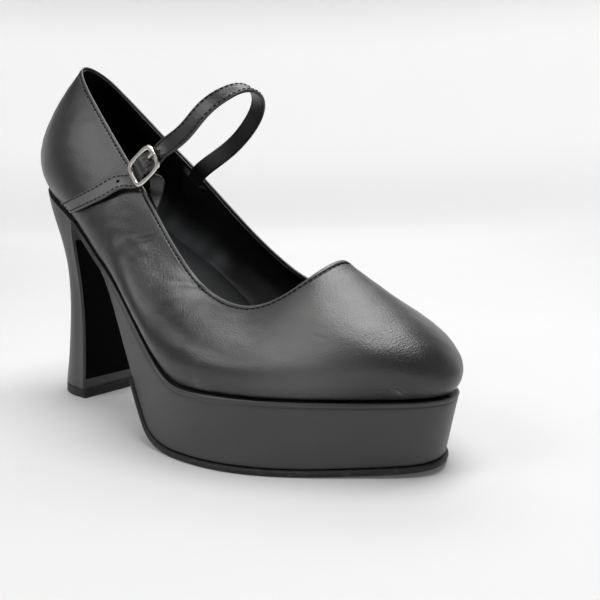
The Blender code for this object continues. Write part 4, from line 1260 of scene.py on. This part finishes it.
def add_strap():
    """The two-layer strap with its stitches, the prong's hole and the spare holes."""
    rows, at = band_rows(strap_sections(), 0.0007)
    middle = rows[:, rows.shape[1] // 2]
    bar = np.linalg.norm(middle - in_buckle(0.0, 0.0, 0.0), axis=1).argmin()
    place, _ = band_profile(STRAP_WIDTH, STRAP_THICKNESS, 0.5)
    seam = STRAP_SEAM / STRAP_WIDTH
    groove = -SEAM_GROOVE * (bell(place - seam, 0.035) + bell(1 - place - seam, 0.035))
    # The tail's outer face carries a painted highlight from just past the buckle on.
    strap = add_band("strap_band", rows, (STRAP_WIDTH, STRAP_THICKNESS), 0.5, "strap", groove,
                     0.9 * ease(0.004, 0.012, at - at[bar]))
    _, normals = band_face(rows, np.array([0.5]))
    for station in HOLE_STATIONS:
        i = np.abs(at - at[bar] - station).argmin()
        side = unit(rows[i, -1] - rows[i, 0])
        normal = normals[i, 0]
        angle = (np.arange(20) * 2 * math.pi / 20)[:, None]
        ring = HOLE_DIAMETER / 2 * (np.cos(angle) * side + np.sin(angle) * np.cross(normal, side))
        depth = np.array([-1, 1])[:, None, None] * STRAP_THICKNESS * normal
        carve(strap, capped("hole", middle[i] + ring + depth, leather),
              "DIFFERENCE")
    ring, line = prong_lines()
    room = PRONG_DIAMETER / 2 + GAP
    for form in (loop("room", tube(ring, room, True, 16), leather),
                 capped("room", tube(line, room, False, 16), leather)):
        carve(strap, form, "DIFFERENCE")
    lift = STRAP_THICKNESS / 2 + 0.00002
    seams, outs = band_face(rows, np.array([seam, 1 - seam]))
    seams = seams + lift * outs
    under_rail = np.abs(at - at[bar]) < BUCKLE_LENGTH / 2 + 0.001
    first = bar - int(under_rail.sum() // 2)
    last = bar + int(under_rail.sum() // 2)
    for number, (start, end) in enumerate(((24, first), (last, len(at) - 3))):
        for side, name in enumerate(("upper", "lower")):
            stitches("strap_stitches_" + name + "_" + str(number + 1), seams[start:end, side],
                     outs[start:end, side])
    ends, out = band_face(rows[-3:], np.linspace(seam, 1 - seam, 9))
    stitches("strap_stitches_end", ends[0] + (lift + 0.0001) * out[0], out[0])
    return strap


def prong_lines():
    """The prong's ring round the bar, and its line up over the end rail."""
    radius = BAR_DIAMETER / 2 + GAP + PRONG_DIAMETER / 2
    angle = np.arange(48) * 2 * math.pi / 48
    ring = in_buckle(radius * np.cos(angle), 0.0, radius * np.sin(angle) - BAR_DROP)
    path = np.array(PRONG_PATH)
    fine = Spline(np.arange(len(path)), path)(np.linspace(0, len(path) - 1, 40))
    line = in_buckle(fine[:, 0] * BUCKLE_LENGTH / 2, 0.0, (fine[:, 1] - 1) * BAR_DROP)
    return ring, line


def tube(path, radius, closed, sides):
    """Rings of points round a line in the buckle's own plane."""
    ahead, behind = np.roll(path, -1, 0), np.roll(path, 1, 0)
    if not closed:
        ahead[-1], behind[0] = path[-1], path[0]
    side = buckle_axes()[2]
    lift = np.cross(unit(ahead - behind), side)
    angle = (np.arange(sides) * 2 * math.pi / sides)[:, None]
    radius = np.broadcast_to(radius, len(path))[:, None, None]
    return path[:, None] + radius * (np.cos(angle) * side + np.sin(angle) * lift[:, None])


def add_buckle():
    """The buckle: a soft-edged rail round a rounded rectangle, a middle bar, and the prong."""
    count = 144
    angle = (np.arange(count) + 0.5) * 2 * math.pi / count
    half_length = (BUCKLE_LENGTH - BUCKLE_RAIL) / 2
    half_width = (BUCKLE_WIDTH - BUCKLE_RAIL) / 2
    reach = (np.abs(np.cos(angle)) ** FRAME_SQUARE
             + np.abs(np.sin(angle)) ** FRAME_SQUARE) ** (-1 / FRAME_SQUARE)
    along, across = half_length * reach * np.cos(angle), half_width * reach * np.sin(angle)
    run = unit(np.stack([np.roll(along, -1) - np.roll(along, 1),
                         np.roll(across, -1) - np.roll(across, 1)], -1))
    turn = np.arange(24) * 2 * math.pi / 24
    soft = (np.abs(np.cos(turn)) ** 3 + np.abs(np.sin(turn)) ** 3) ** (-1 / 3)
    out = RAIL_FULLNESS * BUCKLE_RAIL / 2 * soft * np.cos(turn)
    rise = BUCKLE_THICKNESS / 2 * soft * np.sin(turn)
    rings = in_buckle(along[:, None] + run[:, 1:] * out, across[:, None] - run[:, :1] * out, rise)
    rail = loop("buckle_rail", rings, plated, "buckle_frame")
    turn = np.arange(20) * 2 * math.pi / 20
    ends = np.linspace(-half_width, half_width, 9)[:, None]
    bar = capped("bar", in_buckle(BAR_DIAMETER / 2 * np.cos(turn), ends,
                                  BAR_DIAMETER / 2 * np.sin(turn) - BAR_DROP), plated)
    carve(rail, bar, "UNION")
    ring, line = prong_lines()
    prong = loop("buckle_tongue", tube(ring, PRONG_DIAMETER / 2, True, 20), plated,
                 "buckle_prong")
    taper = PRONG_DIAMETER / 2 * np.concatenate([np.ones(34), np.linspace(1, 0.72, 6)])
    carve(prong, capped("finger", tube(line, taper, False, 20), plated), "UNION")
    return rail, prong


def add_anchor():
    """The anchor: a thin band sewn inside the collar that turns round the buckle's bar."""
    half, rails = ANCHOR_WIDTH / 2, BAND_RAILS
    root = np.array(ANCHOR_ROOT)
    sewn = UPPER_WALL + LINING_GAP + ANCHOR_THICKNESS / 2
    inside = wall_band(root[:, 0], root[:, 1], -sewn, half, rails)
    spread = np.linspace(-half, half, rails)
    along, across, out = ANCHOR_BEND
    bend = in_buckle(along * BUCKLE_LENGTH / 2 + spread * math.sin(ANCHOR_SKEW),
                     across * BUCKLE_WIDTH / 2 + spread * math.cos(ANCHOR_SKEW), out * BAR_DROP)
    turns = np.radians(ANCHOR_WRAP)[:, None]
    radius = BAR_DIAMETER / 2 + GAP + ANCHOR_THICKNESS / 2
    wrap = in_buckle(radius * np.cos(turns), spread, radius * np.sin(turns) - BAR_DROP)
    rows, _ = band_rows(np.concatenate([inside, bend[None], wrap]), 0.0004)
    anchor = add_band("anchor_band", rows, (ANCHOR_WIDTH, ANCHOR_THICKNESS), 0.0,
                      "buckle_anchor")
    room = BAR_DIAMETER / 2 + PRONG_DIAMETER + 2 * GAP
    turn = np.arange(16) * 2 * math.pi / 16
    ends = np.array([-1, 1])[:, None] * (PRONG_DIAMETER / 2 + GAP)
    slot = capped("slot", in_buckle(room * np.cos(turn), ends, room * np.sin(turn) - BAR_DROP),
                  leather)
    carve(anchor, slot, "DIFFERENCE", True)
    return anchor


def add_floor():
    """A pale floor: a wide disc whose rim rises in a soft curve all round."""
    flat, curve = np.array([0.02, 0.1, 0.3, 0.6, 1.0, 1.5]), 0.7
    rise = np.radians(np.linspace(10, 90, 9))
    edge = flat[-1] + curve
    reach = np.concatenate([flat, flat[-1] + curve * np.sin(rise), [edge, edge]])
    height = np.concatenate([np.zeros(len(flat)), curve - curve * np.cos(rise), [1.1, 1.5]])
    turn = np.arange(72) * 2 * math.pi / 72
    rings = np.stack([reach[:, None] * np.cos(turn), reach[:, None] * np.sin(turn),
                      np.broadcast_to(height[:, None], (len(reach), len(turn)))], -1)
    mesh = bpy.data.meshes.new("studio_floor")
    count = len(turn)
    mesh.from_pydata(rings.reshape(-1, 3).tolist(), [],
                     grid_faces(len(reach), count) + [tuple(range(count))[::-1]])
    mesh.materials.append(finish(studio_floor))
    mesh.shade_smooth()
    floor = bpy.data.objects.new("studio_floor", mesh)
    bpy.context.scene.collection.objects.link(floor)
    return floor


def placed(made, place, right, up, back):
    """An object moved to a place, with its own axes turned along three directions."""
    turned = Matrix((right, up, back)).transposed().to_4x4()
    made.matrix_world = Matrix.Translation(place) @ turned
    bpy.context.scene.collection.objects.link(made)
    return made


def add_camera():
    """The camera at the place it was worked out to stand, level with the instep."""
    data = bpy.data.cameras.new("camera")
    data.sensor_width = 36.0
    data.lens = CAMERA_LENS
    data.clip_start = 0.01
    bpy.context.scene.camera = placed(bpy.data.objects.new("camera", data), CAMERA_PLACE,
                                      CAMERA_RIGHT, CAMERA_UP, CAMERA_BACK)


def add_light(name, place, aim, size, power):
    """A rectangular soft light that faces a point."""
    data = bpy.data.lights.new(name, "AREA")
    data.shape = "RECTANGLE"
    data.size, data.size_y = size
    data.energy = power
    back = unit(np.subtract(place, aim))
    side = unit(np.cross(UP, back) if abs(back[2]) < 0.99 else np.array([0.0, 1.0, 0.0]))
    placed(bpy.data.objects.new(name, data), place, side, np.cross(back, side), back)


def add_lights():
    """A white room: faint light all round, a broad lamp overhead and two at the sides."""
    world = bpy.data.worlds.new("white_room")
    bpy.context.scene.world = world
    world.use_nodes = True
    air = world.node_tree.nodes["Background"]
    air.inputs["Color"].default_value = (1, 1, 1, 1)
    air.inputs["Strength"].default_value = ROOM_LIGHT
    for lamp in LAMPS:
        add_light(*lamp)
    bpy.context.scene.view_settings.view_transform = "Standard"


add_camera()
add_floor()
add_lights()
add_upper()
add_lining()
add_platform()
add_outsole()
add_insole()
add_heel()
add_topline_stitches()
add_root_stitches()
add_strap()
add_anchor()
add_buckle()
bpy.context.view_layer.update()
